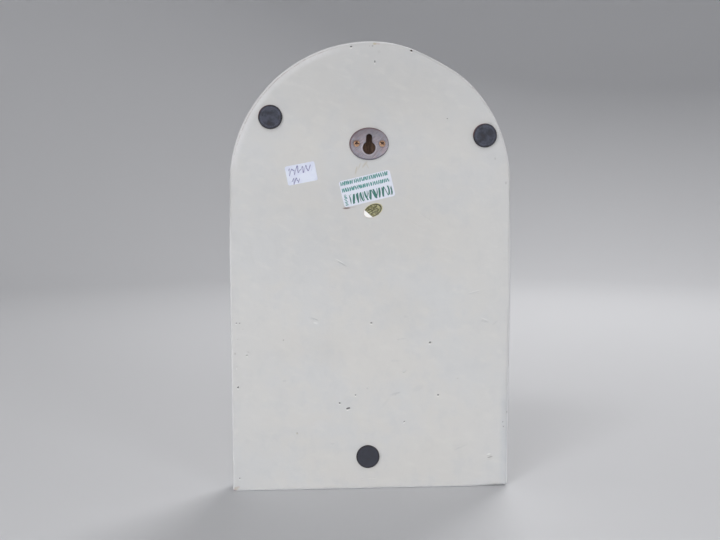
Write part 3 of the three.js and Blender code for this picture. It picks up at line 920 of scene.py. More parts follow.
patches = [
    # across, height, half width, half height, turn, strength: where the back is painted a little darker;
    # the broad ones over the top are painted shade, the top darker as the light falls off
    (38, 116, 28, 20, 0, 0.12),
    (72, 208, 32, 16, -10, 0.12),
    (-24, 150, 36, 28, 20, 0.14),
    (0, 332, 120, 52, 0, 0.35),
    (14, 220, 120, 70, 0, 0.22),
    (-2, 352, 70, 16, 0, 0.2),
    (0, 168, 42, 22, 30, 0.12),
    (-60, 240, 40, 18, -20, 0.12),
]
stainsAndPaintedLight = {
    # colour, then across, height, half width, half height, turn and strength of each; besides stains, these
    # hold painted shadows, shade and highlights
    "dirt": (colour(92, 84, 82), [
        (-1.2, 360.2, 0.8, 0.7, 0, 0.4), (1.1, 360.2, 0.6, 0.6, 0, 0.2), (-6.4, 355.6, 1.2, 1.2, 0, 0.08),
        (110.5, 115, 0.8, 1.1, 0, 0.25), (100, 300, 0.8, 1.2, 20, 0.15), (-100, 271.5, 0.7, 1.1, 0, 0.2),
        (-109, 252, 0.7, 1.3, 0, 0.25), (-22, 125, 1.0, 0.6, 0, 0.12), (-20, 79, 0.9, 0.5, 0, 0.12),
        # the last spot on the next line is a painted shadow under the crumb low on the side of -X; the rest
        # are dirt
        (-71, 92, 0.9, 0.7, 0, 0.12), (-112.4, 63, 0.6, 1.0, 0, 0.35), (-98.6, 25.2, 2.4, 0.5, -14, 0.55),
        (100, 116.2, 1.2, 0.5, 35, 0.15),
    ]),
    "shade": (colour(112, 84, 78), [
        # painted shadow under the label's lifted corner
        (19.7, 232.25, 3.3, 0.75, -5, 0.85), (14.8, 232.9, 3.2, 0.4, -12, 0.2),
    ]),
    "rust": (colour(172, 158, 116), [
        (-2.9, 361.9, 1.5, 0.9, 0, 0.6), (111.3, 2.6, 2.2, 1.6, 20, 0.3), (61, 48, 1.0, 0.7, 0, 0.25),
    ]),
    "rose": (colour(178, 142, 132), [
        (-5.4, 361.8, 2.2, 0.5, 4, 0.4), (109.5, 3.9, 1.5, 0.6, 0, 0.35),
        (112.2, 1.6, 1.6, 1.0, 0, 0.4),
    ]),
    "drip": (colour(178, 166, 142), [
        (5.2, 267, 0.8, 3.6, 38, 0.4), (12, 262.5, 0.7, 3.6, 14, 0.45), (3, 266, 0.5, 2.8, -24, 0.3),
        (9.5, 265.5, 0.6, 3.4, 22, 0.3),
    ]),
    # grey smudges: partly rubbed paint, and partly painted shade along scratches and beside marks
    "rub": (colour(176, 178, 181), [
        (-27, 98.8, 2.6, 1.1, -10, 0.3), (-19.4, 107.4, 4.0, 1.2, 0, 0.2),
        (-25, 125.4, 3.6, 0.7, -3, 0.3), (-38.3, 84.2, 5.5, 2.4, -25, 0.16),
        (-12, 73, 6.0, 1.0, -50, 0.12), (-28, 144, 2.2, 1.2, 0, 0.25), (71, 92, 1.8, 1.0, 0, 0.3),
        (3, 85, 1.4, 1.0, 0, 0.25), (32, 39, 2.0, 0.8, 0, 0.25), (-74, 34, 6.0, 0.9, -24, 0.25),
        (-84, 163, 5.6, 0.7, -14, 0.25), (-92.5, 139.2, 3.8, 0.8, 10, 0.35),
        (-101.5, 138, 3.2, 0.6, -42, 0.2), (24, 187.6, 5.2, 0.8, 30, 0.3),
        (-19.5, 79.9, 4.6, 0.9, -16, 0.35), (46.8, 142.7, 4.2, 0.8, 18, 0.4),
    ]),
    "lip": (colour(232, 232, 230), [
        # painted highlight: the light catches the lower lip of each of the larger pits, and the lit side of
        # a few scratches and of a crumb
        (across, height - 1.25 * high - 0.45, wide, 0.42, turn, 0.75)
        for across, height, wide, high, depth, turn, mark in pits if wide * high > 0.26
    ] + [
        (-84, 164, 6.0, 0.5, -14, 0.2), (-97.6, 27.7, 1.8, 0.7, -12, 0.7),
        (-92.5, 141.2, 3.8, 0.5, 20, 0.3), (25.5, 189.6, 4.4, 0.45, 30, 0.4),
        (45.2, 139.4, 2.2, 0.9, 15, 0.35),
    ]),
}
spotReach = 4                     # mm into the back, past which a stain has ended


def spotMask(look, spots, inner=0.5, outer=1.25):
    # the strongest of soft ovals: each is its strength up to inner and 0 past outer of its half sizes
    masks = []
    for across, height, wide, high, turn, strength in spots:
        place = onPlaque(across, height, 0).tolist()
        near = look.mapped((wide, spotReach, high), -math.radians(turn), place)
        masks.append(look.rise(look.length(near), outer, inner, strength))
    return look.larger(*masks)


def paintLook():
    look = Look("cream_paint")
    local = look.mapped(place=(middleX, backY, footZ))
    across, out, height = look.parts(local)
    over = look.maths("MAXIMUM", height - body["archHeight"], 0)
    inset = body["halfWidth"] - look.hypot(across, over)
    depth = 0 - out
    places = {"across": across, "height": height, "over": over, "inset": inset, "depth": depth}

    def zone(name, mask=None):
        return look.zone(places, paintZones[name], mask)

    isBack = zone("back")
    cloud, mottle, speckle, grain = look.noises(local, paintGrains)
    dabs = look.streaks((13, 9, 6), -0.3, 4)
    strokes = look.streaks((7, 7, 1.2), 0.5)

    # the filed shoulder is paler, a painted highlight, with a thin line of grime near the edge, and low on
    # the other side the edge is painted bluish and darker as shade; all round, the edge itself is painted
    # lighter as a highlight
    edge = look.rise(look.maths("MINIMUM", inset - look.rise(over, 5, 20), height - 0.2), 1.9, 0.8)
    wander = (mottle - 0.5) * grimeInset["wander"]
    line = zone("line", look.rise(abs(inset - grimeInset["line"] - wander), 0.5, 0.15))
    grimy = zone("grimy", look.rise(abs(inset - grimeInset["grimy"]), 1.0, 0.2))
    base = look.coats(
        paint["warm"],
        (look.rise(cloud * 0.7 + mottle * 0.3, 0.42, 0.6), paint["cool"]),
        (look.rise(inset, *paintZones["border"]["inset"], 0.45) * isBack, paint["cool"]),
        # painted a little darker in patches, with painted shade over the top
        (spotMask(look, patches, 0, 1.2) * isBack, paint["shade"]),
        (look.rise(dabs, 0.5, 0.72, 0.24) * isBack, paint["dab"]),
        (look.rise(mottle, 0.5, 0.64, 0.08) * isBack, paint["shade"]),
        # painted highlight on the filed shoulder, speckled
        (zone("filed") * (0.12 + speckle * 0.75), paint["speckledHighlight"]),
        # painted shade: the bluish darker band low on the side of -X
        (zone("low") * (0.05 + mottle * 0.45), paint["blue"]),
        # painted highlight along the edge all round, speckled
        (edge * look.rise(depth, 6, 3) * (0.7 + speckle * 0.5), paint["speckledHighlight"]),
        (line * look.rise(speckle, 0.3, 0.6, 0.4), paint["grime"]),
        (grimy * look.rise(speckle, 0.54, 0.68, 0.35) * isBack, paint["grime"]),
        # stains, with painted shadows, shade and highlights
        *[(spotMask(look, spots), tint) for tint, spots in stainsAndPaintedLight.values()])

    # the front: a brown wash wiped off the high places
    hollow = zone("wash") * zone("front")
    groove = look.rise(abs(inset - grimeInset["groove"]), 0.9, 0.3) * look.rise(depth, 16, 17)
    wiped = look.rise(mottle * 0.6 + speckle * 0.4, 0.35, 0.65)
    base = look.mix(look.larger(hollow * (0.3 + wiped * 0.35), groove * 0.6), base, paint["wash"])

    # the bare casting inside the holes: streaked downwards, with painted shade behind the keyhole's slot,
    # where it is darkest
    bare = look.node("ShaderNodeAttribute", {"attribute_name": "barenessAndShade"}, output="Fac")
    inside = look.coats(
        paint["bare"],
        (look.rise(look.streaks((1.1, 5, 7), 0, 3, 0.6), 0.45, 0.62), paint["bareLight"]),
        (look.rise(speckle, 0.55, 0.72, 0.5), paint["bareDark"]),
        # painted shade behind the keyhole's slot
        (look.rise(height, *paintZones["shadeBehindSlot"]["height"], 0.6), paint["bareDark"]))
    # the pits show grey dirt and painted shade in place of the bare casting
    inside = look.mix(look.rise(bare, 0.75, 0.9), paint["pitDirtAndShade"], inside)

    relief = look.bump(mottle, 0.5, 0.5)
    relief = look.bump(strokes, 0.12, 0.5, relief)
    relief = look.bump(grain + speckle * 0.8, 0.06, 0.6, relief)
    smooth, rough = paint["rough"]
    look.feed(Base_Color=look.mix(bare, base, inside), Normal=relief,
              Roughness=smooth + (rough - smooth) * mottle + bare * 0.25)
    return look.material


finishPiece(casting, paintLook(), "painted_casting", "plaque_casting")


# The keyhole hanger
keyhole = {
    # mm; the nail's seat is the frame's origin
    "slot": 4.6, "eye": 9.9, "eyeBelow": 8.55,
    "pole": 4.9,                  # a point below the seat that both the slot and the eye hold
}
plate = {
    "round": 0.4,                 # of the outer edge
    "lip": (0.45, 0.1, 0.6),      # of the keyhole's edge: its round, the bulge beside it and its width
    "rim": (0.16, 1.3),           # the raised rim: its rise and its width
    "dish": 0.1,                  # the hollow between the rim and the keyhole
    "sides": 264,
    "sink": (3.3, 1.15, 1.25),    # countersinks: radius at the face, radius below, depth
}
steelTints = {
    "steel": colour(138, 134, 141),
    "rose": colour(138, 126, 132),
    "blue": colour(128, 130, 144),
    "dark": colour(98, 92, 98),
    "rim": colour(106, 78, 80),
    "shadow": colour(70, 70, 88),
    # painted highlight on the keyhole's lower lip, and pale scratches
    "lip": colour(166, 160, 166),
}
steelGrains = {"cloud": (0.16, 3, 0.6), "mottle": (0.7, 4, 0.65)}
plateLevel = (plateLow.z + plateHigh.z) / 2 / mm


def keyholeReach(turn):
    # distance from the pole to the keyhole's edge along each direction: to the round eye, or to the
    # slot's straight side or round top where that is farther
    aside, up = np.cos(turn), np.sin(turn)
    below = keyhole["eyeBelow"] - keyhole["pole"]
    eye, slot = keyhole["eye"] / 2, keyhole["slot"] / 2
    toEye = -below * up + np.sqrt(eye ** 2 - (below * aside) ** 2)
    toSide = slot / np.maximum(np.abs(aside), 1e-6)
    toTop = keyhole["pole"] * up + np.sqrt(np.maximum(slot ** 2 - (keyhole["pole"] * aside) ** 2, 0))
    toSlot = np.where(toSide * up > keyhole["pole"], toTop, toSide)
    return np.where(up > 0, np.maximum(toEye, toSlot), toEye)


def plateReach(turn):
    # distance from the pole to the oval edge: the larger root of the ellipse's equation
    aside, up = np.cos(turn), np.sin(turn)
    wide, tall = (plateHigh.x - plateLow.x) / 2 / mm, (plateHigh.z - plateLow.z) / 2 / mm
    offset = plateLevel + keyhole["pole"]
    a = (aside / wide) ** 2 + (up / tall) ** 2
    b = -2 * offset * up / tall ** 2
    c = (offset / tall) ** 2 - 1
    return (-b + np.sqrt(b * b - 4 * a * c)) / (2 * a)


def plateMesh():
    # a profile from the keyhole's edge to the oval edge and back, carried round the pole: each point
    # is a share of the way out, an offset in mm and a level over the back of the plate
    thick = (plateHigh.y - plateLow.y) / mm
    lipRound, bulge, bulgeWidth = plate["lip"]
    rise, rimWidth = plate["rim"]
    top = thick - rise

    def face(share, offset):
        inner = bell(offset, bulgeWidth, bulgeWidth * 0.6) * (share == 0)
        outer = smoothRise(offset, -rimWidth, -rimWidth * 0.4) * (share == 1)
        return top + bulge * inner + rise * outer - plate["dish"] * math.sin(math.pi * share) ** 2

    profile = [(0, 0.25, 0), (0, 0, 0.2)]
    profile += [(0, lipRound * (1 - math.cos(turn)), top - lipRound * (1 - math.sin(turn)))
                for turn in np.radians([0, 30, 60])]
    profile += [(0, offset, face(0, offset)) for offset in (0.45, 0.65, 0.9, 1.2, 1.6)]
    profile += [(share, 0, face(share, 0)) for share in (0.3, 0.42, 0.55, 0.68, 0.8)]
    profile += [(1, offset, face(1, offset)) for offset in (-1.6, -1.3, -1.1, -0.9, -0.7, -0.5)]
    profile += [(1, -plate["round"] * (1 - math.sin(turn)), thick - plate["round"] * (1 - math.cos(turn)))
                for turn in np.radians([20, 45, 70, 90])]
    profile += [(1, 0, 0.15), (1, -0.15, 0), (0.75, 0, 0), (0.4, 0, 0)]
    share, offset, level = np.array(profile).T[:, :, None]
    turn = fullTurn(plate["sides"])
    inner, outer = keyholeReach(turn), plateReach(turn)
    reach = inner + (outer - inner) * share + offset
    points = np.stack([
        reach * np.cos(turn) * mm,
        plateLow.y + level * mm + 0 * reach,
        (reach * np.sin(turn) - keyhole["pole"]) * mm], -1)
    index = np.arange(reach.size).reshape(reach.shape)
    faces = gridFaces(np.concatenate([index, index[:1]]), closed=True)
    return newMesh("keyhole_hanger_plate", points, faces)


def aboutAxis(axis, radii, levels, turn):
    # rings about an axis along Y, with radii and levels in mm, as rows of metres
    return np.stack([
        axis.x + radii * np.cos(turn) * mm,
        axis.y + levels * mm + 0 * radii * turn,
        axis.z + radii * np.sin(turn) * mm], -1)


def axisOf(node, level):
    # a point on a screw's axis
    low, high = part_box(node)
    return Vector(((low.x + high.x) / 2, level, (low.z + high.z) / 2))


def steelLook():
    look = Look("hanger_steel", Specular_IOR_Level=0.5)
    local = look.mapped()
    across, _, up = look.parts(local)
    cloud, mottle = look.noises(local, steelGrains)
    scored = look.streaks((5, 1, 0.35), 0.7)
    high = (up - plateLevel) / plateHalf[2]
    rim = look.rise(look.hypot(across / plateHalf[0], high), 0.9, 0.97)
    below = up + keyhole["eyeBelow"]
    lip = abs(look.hypot(across, below) - keyhole["eye"] / 2 - 0.75)
    # darker towards the top, a brown rim at the upper left, a painted shadow along the lower rim, and a
    # painted highlight on the lower lip of the keyhole
    base = look.coats(
        steelTints["steel"],
        (look.rise(cloud, 0.4, 0.6), steelTints["rose"]),
        (look.rise(mottle, 0.48, 0.62, 0.85), steelTints["blue"]),
        (look.rise(scored, 0.52, 0.66, 0.55), steelTints["dark"]),
        (look.rise(scored, 0.46, 0.34, 0.35), steelTints["lip"]),
        (look.rise(high * 0.8 + cloud * 0.6, 0.35, 1.0, 0.55), steelTints["dark"]),
        (rim * look.rise(across * 0.05 + high, -0.2, 0.6, 0.8), steelTints["rim"]),
        (rim * look.rise(high, -0.5, -0.85, 0.7), steelTints["shadow"]),
        # painted highlight on the lower lip of the keyhole
        (look.rise(lip, 0.7, 0.25, 0.7) * look.rise(below, 3.6, 2.0), steelTints["lip"]))
    relief = look.bump(scored, 0.05, 0.5, look.bump(mottle, 0.12, 0.5))
    look.feed(Base_Color=base, Metallic=0.55 + cloud * 0.2, Roughness=0.42 + mottle * 0.2, Normal=relief)
    return look.material


def addPlate():
    piece = newObject(plateMesh())
    outer, inner, deep = plate["sink"]
    wider = outer + (outer - inner) / deep * 0.4      # the cone is carried on past the face
    radii, levels = np.array([[inner, -2], [inner, -deep], [outer, 0], [wider, 0.4]]).T[:, :, None]
    face = plateHigh.y - plate["rim"][0] * mm
    sinks = [tubeMesh("sink", aboutAxis(axisOf(node, face), radii, levels, fullTurn(40)))
             for node in screwNodes]
    carve(piece, sinks, "DIFFERENCE")
    finishPiece(piece, steelLook(), "hanger_steel", "keyhole_hanger")


addPlate()


# The screws
screw = {
    "head": 2.45, "headDepth": 1.1, "dome": 0.27, "headEdge": 0.18,
    "shank": 1.05, "neck": 0.15,
    "thread": 0.4, "pitch": 1.15,
    "threadFrom": 1.9, "runIn": 1.2,      # the thread grows over its run in
    "length": 11, "tip": 3.2,             # and the shank thins to its tip
    # half sizes of the cross at the top and below
    "cross": (2.0, 0.9), "crossWidth": (0.8, 0.3), "crossDepth": 1.35,
    "turns": {"hanger_screw_left": 3, "hanger_screw_right": 43},   # of the cross, in degrees
}
brassTints = {
    "brass": colour(206, 172, 142),
    "tarnish": colour(168, 132, 108),
    # painted shade: the upper part of the head darker brown
    "brown": colour(112, 78, 62),      # on the upper part of the head
    # painted shade on the upper walls of the cross recess
    "recessShade": colour(70, 42, 30),
}


def screwMesh(name, axis):
    # radius by level down the axis: the domed head, its cone, and a shank whose thread is a
    # triangle wave of level / pitch - turn / 360
    turn = fullTurn(36)[None, :]
    dome = np.linspace(0.06, 1, 8)
    start, end = screw["threadFrom"], screw["length"]
    levels = [*(screw["dome"] * (1 - dome ** 2)), -screw["headEdge"], -screw["headDepth"], -start]
    radii = [*(screw["head"] * dome), screw["head"] * 0.99, screw["shank"] + screw["neck"],
             screw["shank"] + 0.1]
    down = np.linspace(start + 0.1, end - 0.1, 64)[:, None]
    wave = np.abs(((down / screw["pitch"] - turn / (2 * math.pi)) % 1) * 2 - 1)
    wave = wave * screw["thread"] * smoothRise(down, start, start + screw["runIn"])
    thread = (screw["shank"] + wave) * (0.12 + 0.88 * smoothRise(down, end, end - screw["tip"]))
    radii = np.concatenate([np.array(radii)[:, None] + 0 * turn, thread])
    levels = np.concatenate([np.array(levels)[:, None], -down])
    return tubeMesh(name, aboutAxis(axis, radii, levels, turn)[::-1])


def crossMeshes(axis, turned):
    # two tapered bars: the half length and half width shrink with depth
    shapes = []
    for extra in (0, 90):
        angle = math.radians(turned + extra)
        along = np.array([math.cos(angle), math.sin(angle)])
        aside = np.array([-along[1], along[0]])
        rings = []
        for share, level in ((1, -screw["crossDepth"]), (0, screw["dome"] + 0.2)):
            half, width = [wide + (narrow - wide) * share
                           for wide, narrow in (screw["cross"], screw["crossWidth"])]
            corners = [half * a * along + width * b * aside
                       for a, b in ((1, 1), (-1, 1), (-1, -1), (1, -1))]
            rings.append([(axis.x + x * mm, axis.y + level * mm, axis.z + z * mm) for x, z in corners])
        shapes.append(tubeMesh("cross", rings))
    return shapes


def brassLook(axisLevel, axisHeight):
    look = Look("screw_brass")
    local = look.mapped()
    _, level, height = look.parts(local)
    mottle = look.noise(local, 0.9, 4, 0.65)
    deep = look.rise(level, axisLevel - 0.05, axisLevel - 0.5)
    base = look.coats(
        brassTints["brass"],
        (look.rise(mottle, 0.35, 0.65), brassTints["tarnish"]),
        # painted shade on the upper part of the head
        (look.rise(height + mottle, axisHeight + 1.0, axisHeight + 2.6, 0.6), brassTints["brown"]),
        # painted shade in the upper half of the cross recess
        (deep * look.rise(height, axisHeight - 1.1, axisHeight), brassTints["recessShade"]))
    look.feed(Base_Color=base, Metallic=0.6 - deep * 0.4, Roughness=0.4 + mottle * 0.25,
              Normal=look.bump(mottle, 0.08, 0.6))
    return look.material


def addScrews():
    material = None
    for node, turned in screw["turns"].items():
        axis = axisOf(node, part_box(node)[1].y - screw["dome"] * mm)
        material = material or brassLook(axis.y / mm, axis.z / mm)
        piece = newObject(screwMesh(node + "_threaded", axis))
        carve(piece, crossMeshes(axis, turned), "DIFFERENCE")
        finishPiece(piece, material, "screw_brass", node)


addScrews()


# The foam pads
foam = {
    "film": 0.1, "round": 0.45,                        # mm: the glue under it, and its outer edge
    "ring": 0.86, "ringWidth": 0.045, "dip": 0.07,     # the pressed ring, as shares of the radius, and mm
}
foamTints = {
    "foam": colour(52, 54, 63),
    "dusty": colour(77, 81, 95),
    "dark": colour(42, 39, 44),
    "rim": colour(44, 41, 46),
    "rust": colour(112, 74, 76),
    "brown": colour(58, 53, 56),
    "dustRing": colour(92, 97, 112),
}
foamGrains = {"cloud": (0.17, 3), "cells": (2.2, 3, 0.7), "specks": (0.8, 3, 0.6)}


def padMesh(name, node):
    # a disc whose inner face follows the back: radius and level of each ring, with a faint pressed
    # ring near the edge
    low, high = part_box(node)
    radius = (high.x - low.x) / 2 / mm
    middle = middleOf(node)
    outer = -(high.y - backY) / mm
    # each ring: its radius, its depth, and whether it is on the outer face
    edge = foam["round"]
    rings = [(share * radius, outer + foam["dip"] * bell(share, foam["ring"], foam["ringWidth"]), 1)
             for share in np.linspace(0.04, 0.95, 14)]
    rings += [(radius - edge * (1 - math.sin(turn)), outer + edge * (1 - math.cos(turn)), 1)
              for turn in np.radians([0, 30, 60, 90])]
    rings += [(radius * 0.995, outer / 2, 1), (radius, -foam["film"] - 0.15, 0)]
    rings += [(share * radius, -foam["film"], 0) for share in (0.98, 0.7, 0.4, 0.05)]
    reach, depth, isOuter = np.array(rings).T[:, :, None]
    turn = fullTurn(72)
    across, height = middle[0] + reach * np.cos(turn), middle[1] + reach * np.sin(turn)
    depth = depth + (1 - isOuter) * backDepth(across, height)
    mesh = tubeMesh(name, onPlaque(across, height, depth))
    # how far each point lies from the middle, aside and up, as a UV map that the foam's look reads
    points = np.zeros(len(mesh.vertices) * 3)
    mesh.vertices.foreach_get("co", points)
    points = points.reshape(-1, 3)
    corners = np.zeros(len(mesh.loops), np.int32)
    mesh.loops.foreach_get("vertex_index", corners)
    centre = (low + high) / 2
    share = np.stack([(centre.x - points[:, 0]), (points[:, 2] - centre.z)], -1) / (radius * mm)
    mesh.uv_layers.new(name="reach").data.foreach_set("uv", share[corners].ravel())
    return mesh


def foamLook():
    look = Look("pad_foam")
    local = look.mapped()
    cloud, cells, specks = look.noises(local, foamGrains)
    height = look.parts(local)[2]
    aside, up, _ = look.parts(look.node("ShaderNodeUVMap", {"uv_map": "reach"}, {}, "UV"))
    reach = look.hypot(aside, up)
    dust = look.rise(height, -200, -60) * 0.7 + 0.1       # the upper pads are dustier
    ring = look.rise(abs(reach - 0.78 - (specks - 0.5) * 0.2), 0.07, 0.01)
    rust = look.rise(reach, 0.93, 0.99) * look.rise(up - aside, 0.7, 1.2) * look.rise(height, -60, 0)
    base = look.coats(
        foamTints["foam"],
        (look.rise(cloud, 0.38, 0.62) * dust, foamTints["dusty"]),
        (look.rise(cells, 0.55, 0.72, 0.5), foamTints["dark"]),
        (ring * look.rise(specks, 0.35, 0.6, 0.7) * dust, foamTints["dustRing"]),
        (look.rise(specks, 0.58, 0.7, 0.8) * look.rise(reach, 0.3, 0.6), foamTints["dark"]),
        (look.rise(cloud, 0.45, 0.3, 0.5), foamTints["brown"]),
        (look.rise(reach, 0.84, 0.96, 0.85), foamTints["rim"]),
        (rust * 0.8, foamTints["rust"]))
    look.feed(Base_Color=base, Roughness=0.85, Normal=look.bump(cells, 0.15, 0.7))
    return look.material


def addPads():
    material = foamLook()
    for node in ("wall_pad_upper_left", "wall_pad_upper_right", "wall_pad_lower"):
        finishPiece(newObject(padMesh(node + "_foam", node)), material, "pad_foam", node)


addPads()


# What is stuck on the back: the paper label, the stock sticker and the foil seal. Each has its own
# axes as seen from behind: u to the right and w up, in mm from its middle, turned anticlockwise by
# its tilt.
label = {
    "piece": "printed_label", "node": "paper_label", "slot": "label_paper",
    "size": (42, 21.4), "corner": 2, "tilt": 13.3, "thick": 0.16, "film": 0.03,
    "curl": (16.5, 1.6),          # the distance towards the lifted corner where it starts, and its height
    "lifted": (-1, -1),           # the corner that has come up
    "paper": colour(220, 223, 235),
    "cloud": colour(214, 220, 232),
    "ink": colour(0, 102, 90),
    "paleInk": colour(62, 136, 132),
}
# A row of strokes: along u from and to, foot and top in w; then the strokes' pitch, width, lean and
# bow, how ragged their ends are and how much of the row is left empty; and the seed
smallStrokes = (1.58, 1.05, 0.25, 0.3, 0.1, 0.24)
thinStrokes = (2.35, 0.5, -0.9, 0.3, 0.4, 0.24)
labelRows = {
    "first": (-20.3, 19.2, 6.5, 10.1, *smallStrokes, 3),
    "firstThin": (-20.0, 19.0, 6.6, 10.0, *thinStrokes, 11),
    "second": (-20.0, 19.3, 1.2, 4.7, *smallStrokes, 17),
    "secondThin": (-19.8, 19.0, 1.3, 4.6, *thinStrokes, 19),
    "thick": (-15.4, 19.5, -9.4, -1.3, 3.5, 1.6, 0.26, 1.1, 0.04, 0.0, 29),
    "thin": (-14.2, 19.3, -9.2, -1.4, 2.6, 0.72, 0.42, -1.0, 0.08, 0.0, 41),
    "stack": (-9.6, -0.6, -19.9, -17.1, 1.2, 0.75, 0.3, 0.3, 0.3, 0, 53),   # upright, at the left
}
stock = {
    "piece": "handwritten_sticker", "node": "stock_sticker", "slot": "sticker_paper",
    "size": (24.1, 15.4), "corner": 1.5, "tilt": 10.8, "thick": 0.14, "film": 0.03,
    "curl": (12.2, 0.55), "lifted": (1, -1),
    "paper": colour(212, 217, 235),
    "cloud": colour(224, 230, 242),
    "ink": colour(92, 88, 146),
    "scrawl": [                   # u from and to, middle in w, height, pitch and seed
        (-9.6, 8.6, 3.0, 2.5, 3.6, 3),
        (-8.6, -2.0, -4.7, 2.0, 2.9, 11),
    ],
}
seal = {
    "piece": "embossed_seal", "node": "foil_seal", "slot": "seal_foil",
    "size": (16.3, 10.4), "tilt": 26, "thick": 0.12, "film": 0.05,
    "fold": (-0.92, -0.39), "curl": (4.1, 0.36),   # the fold's direction, distance and slope past it
    "rings": [(0.1, 0.87, 0.035), (0.07, 0.76, 0.025)],   # rise in mm, place and width as shares
    "rows": (1.7, 0.0, -1.7),                      # w of the rows of bars
    "bars": (2.3, 2.2, 0.6, 0.3, 0.2, 0.3),
    "foil": colour(88, 86, 48),
    "pale": colour(152, 150, 112),
    "dark": colour(34, 30, 14),
    "gilt": colour(208, 202, 164),                 # the rim
    "glare": colour(255, 255, 254),               # painted glare: the end past the fold painted near white
    "copper": colour(170, 128, 108),               # the rim there
    "grains": {"wear": (0.5, 3), "blotch": (0.28, 3, 0.6)},
}
paperGrain = (0.9, 4, 0.6)


def roundedRim(form, sides=200):
    # the box less its corners plus a circle of the corner's radius, cut into even steps
    turn = np.radians(np.arange(2.5, 360, 5))
    corner = form["corner"]
    wide, tall = [side / 2 - corner for side in form["size"]]
    rim = np.stack([np.sign(np.cos(turn)) * wide + corner * np.cos(turn),
                    np.sign(np.sin(turn)) * tall + corner * np.sin(turn)], -1)
    rim = np.concatenate([rim, rim[:1]])
    walked = np.concatenate([[0], np.cumsum(np.linalg.norm(np.diff(rim, axis=0), axis=1))])
    even = np.linspace(0, walked[-1], sides, endpoint=False)
    return np.stack([np.interp(even, walked, rim[:, 0]), np.interp(even, walked, rim[:, 1])], -1)


def stuckMesh(form, rim, lift, shares, emboss):
    # rings from the middle to the rim on the outer face and back on the inner one, as shares of the
    # rim, at the back's own depth less the film of glue, the lift, the thickness and the embossing
    share = np.array([*shares, *shares[::-1]])[:, None]
    outer = np.repeat([1, 0], len(shares))[:, None]
    u, w = share * rim[:, 0], share * rim[:, 1]
    tilt = math.radians(form["tilt"])
    place = middleOf(form["node"])
    across = place[0] - (u * math.cos(tilt) - w * math.sin(tilt))
    height = place[1] + u * math.sin(tilt) + w * math.cos(tilt)
    depth = backDepth(across, height) - form["film"] - lift(u, w) - form["thick"] * outer
    return tubeMesh(form["piece"], onPlaque(across, height, depth - emboss(share) * outer))


def addSticker(form, rim, lift, shares, material, emboss=lambda share: 0 * share):
    piece = newObject(stuckMesh(form, rim, lift, shares, emboss))
    finishPiece(piece, material, form["slot"], form["node"])


def stuckLook(form, **fixed):
    # the look of a sticker, with its own coordinates, u and w
    look = Look(form["slot"], **fixed)
    place = onPlaque(*middleOf(form["node"]), 0).tolist()
    local = look.mapped(turn=math.radians(form["tilt"]), place=place)
    aside, _, w = look.parts(local)
    return look, local, aside * -1, w


def strokeRow(look, u, w, row):
    # one stroke to a cell along u: white noise sets its lean, its bow, its width, its foot and its
    # top; a slower noise leaves groups of cells empty
    start, end, foot, top, pitch, width, lean, bow, ragged, empty, seed = row
    cell = look.maths("FLOOR", u / pitch)
    draws = [look.parts(look.node("ShaderNodeTexWhiteNoise", {"noise_dimensions": "1D"},
                                  {"W": cell + first}, "Color")) for first in (seed, seed + 0.37)]
    (first, second, third), (fourth, fifth, _) = draws
    tall = top - foot
    t = (w - (top + foot) / 2) / (tall / 2)
    bent = (fourth - 0.5) * (lean * tall) * t + (fifth - 0.4) * (bow * 2) * (1 - t * t)
    aside = abs(u - (cell + 0.5) * pitch - bent)
    half = (0.35 + first * 0.3) * width * (1 - t * t * 0.45)
    mask = look.rise(aside - half, 0.12, -0.06)
    mask = mask * look.rise(w - (foot + second * (ragged * tall)), -0.1, 0.12)
    mask = mask * look.rise(w - (top - third * (ragged * tall)), 0.12, -0.1)
    mask = look.between(mask, u, start, end, 0.1)
    if empty:
        group = look.noise(look.node("ShaderNodeCombineXYZ", {}, {"X": cell * 0.21 + seed}), 1, 1)
        mask = mask * look.rise(group, empty + 0.08, empty + 0.12)
    return mask


def labelLook():
    look, local, u, w = stuckLook(label, Specular_IOR_Level=0.4)
    fibre = look.noise(local, *paperGrain)
    rows = {name: strokeRow(look, *((w, u) if name == "stack" else (u, w)), row)
            for name, row in labelRows.items()}
    small = look.larger(rows["first"], rows["second"], rows["firstThin"] * 0.8,
                        rows["secondThin"] * 0.8, rows["stack"])
    base = look.coats(
        label["paper"],
        (look.rise(look.noise(local, 0.11, 2), 0.35, 0.65, 0.5), label["cloud"]),
        (small * (0.75 + fibre * 0.4), label["paleInk"]),
        (look.larger(rows["thick"], rows["thin"]) * 0.95, label["ink"]))
    look.feed(Base_Color=base, Roughness=0.55 + fibre * 0.1, Normal=look.bump(fibre, 0.03, 0.5))
    return look.material


def cornerLift(form):
    # grows as the 1.6th power of how far a point lies past the fold, measured towards the corner
    start, height = form["curl"]
    towards = form["lifted"]
    far = sum(form["size"]) / 2 * math.sqrt(0.5)

    def lift(u, w):
        past = (u * towards[0] + w * towards[1]) * math.sqrt(0.5)
        return height * np.clip((past - start) / (far - start), 0, 1) ** 1.6
    return lift


def scribble(look, u, w, line):
    # a leaning wave of uneven height: how near a point is to it, over the wave's slope
    start, end, middle, tall, pitch, seed = line
    slid = u - w * 0.35
    uneven = look.node("ShaderNodeTexNoise", {"noise_dimensions": "1D"},
                       {"W": slid * 0.3 + seed, "Scale": 1.0})
    swell = tall * (0.3 + uneven * 0.9)
    turns = 2 * math.pi / pitch
    first = slid * turns + uneven * 4
    second = slid * (turns * 1.62) + uneven * 7 + seed
    wave = (look.maths("SINE", first) + look.maths("SINE", second) * 0.55) * swell
    steep = (look.maths("COSINE", first) + look.maths("COSINE", second) * 0.9) * swell * turns
    mask = look.rise(abs(w - middle - wave) / look.hypot(steep, 1), 0.42, 0.16)
    return look.between(mask, u, start, end, 0.2)


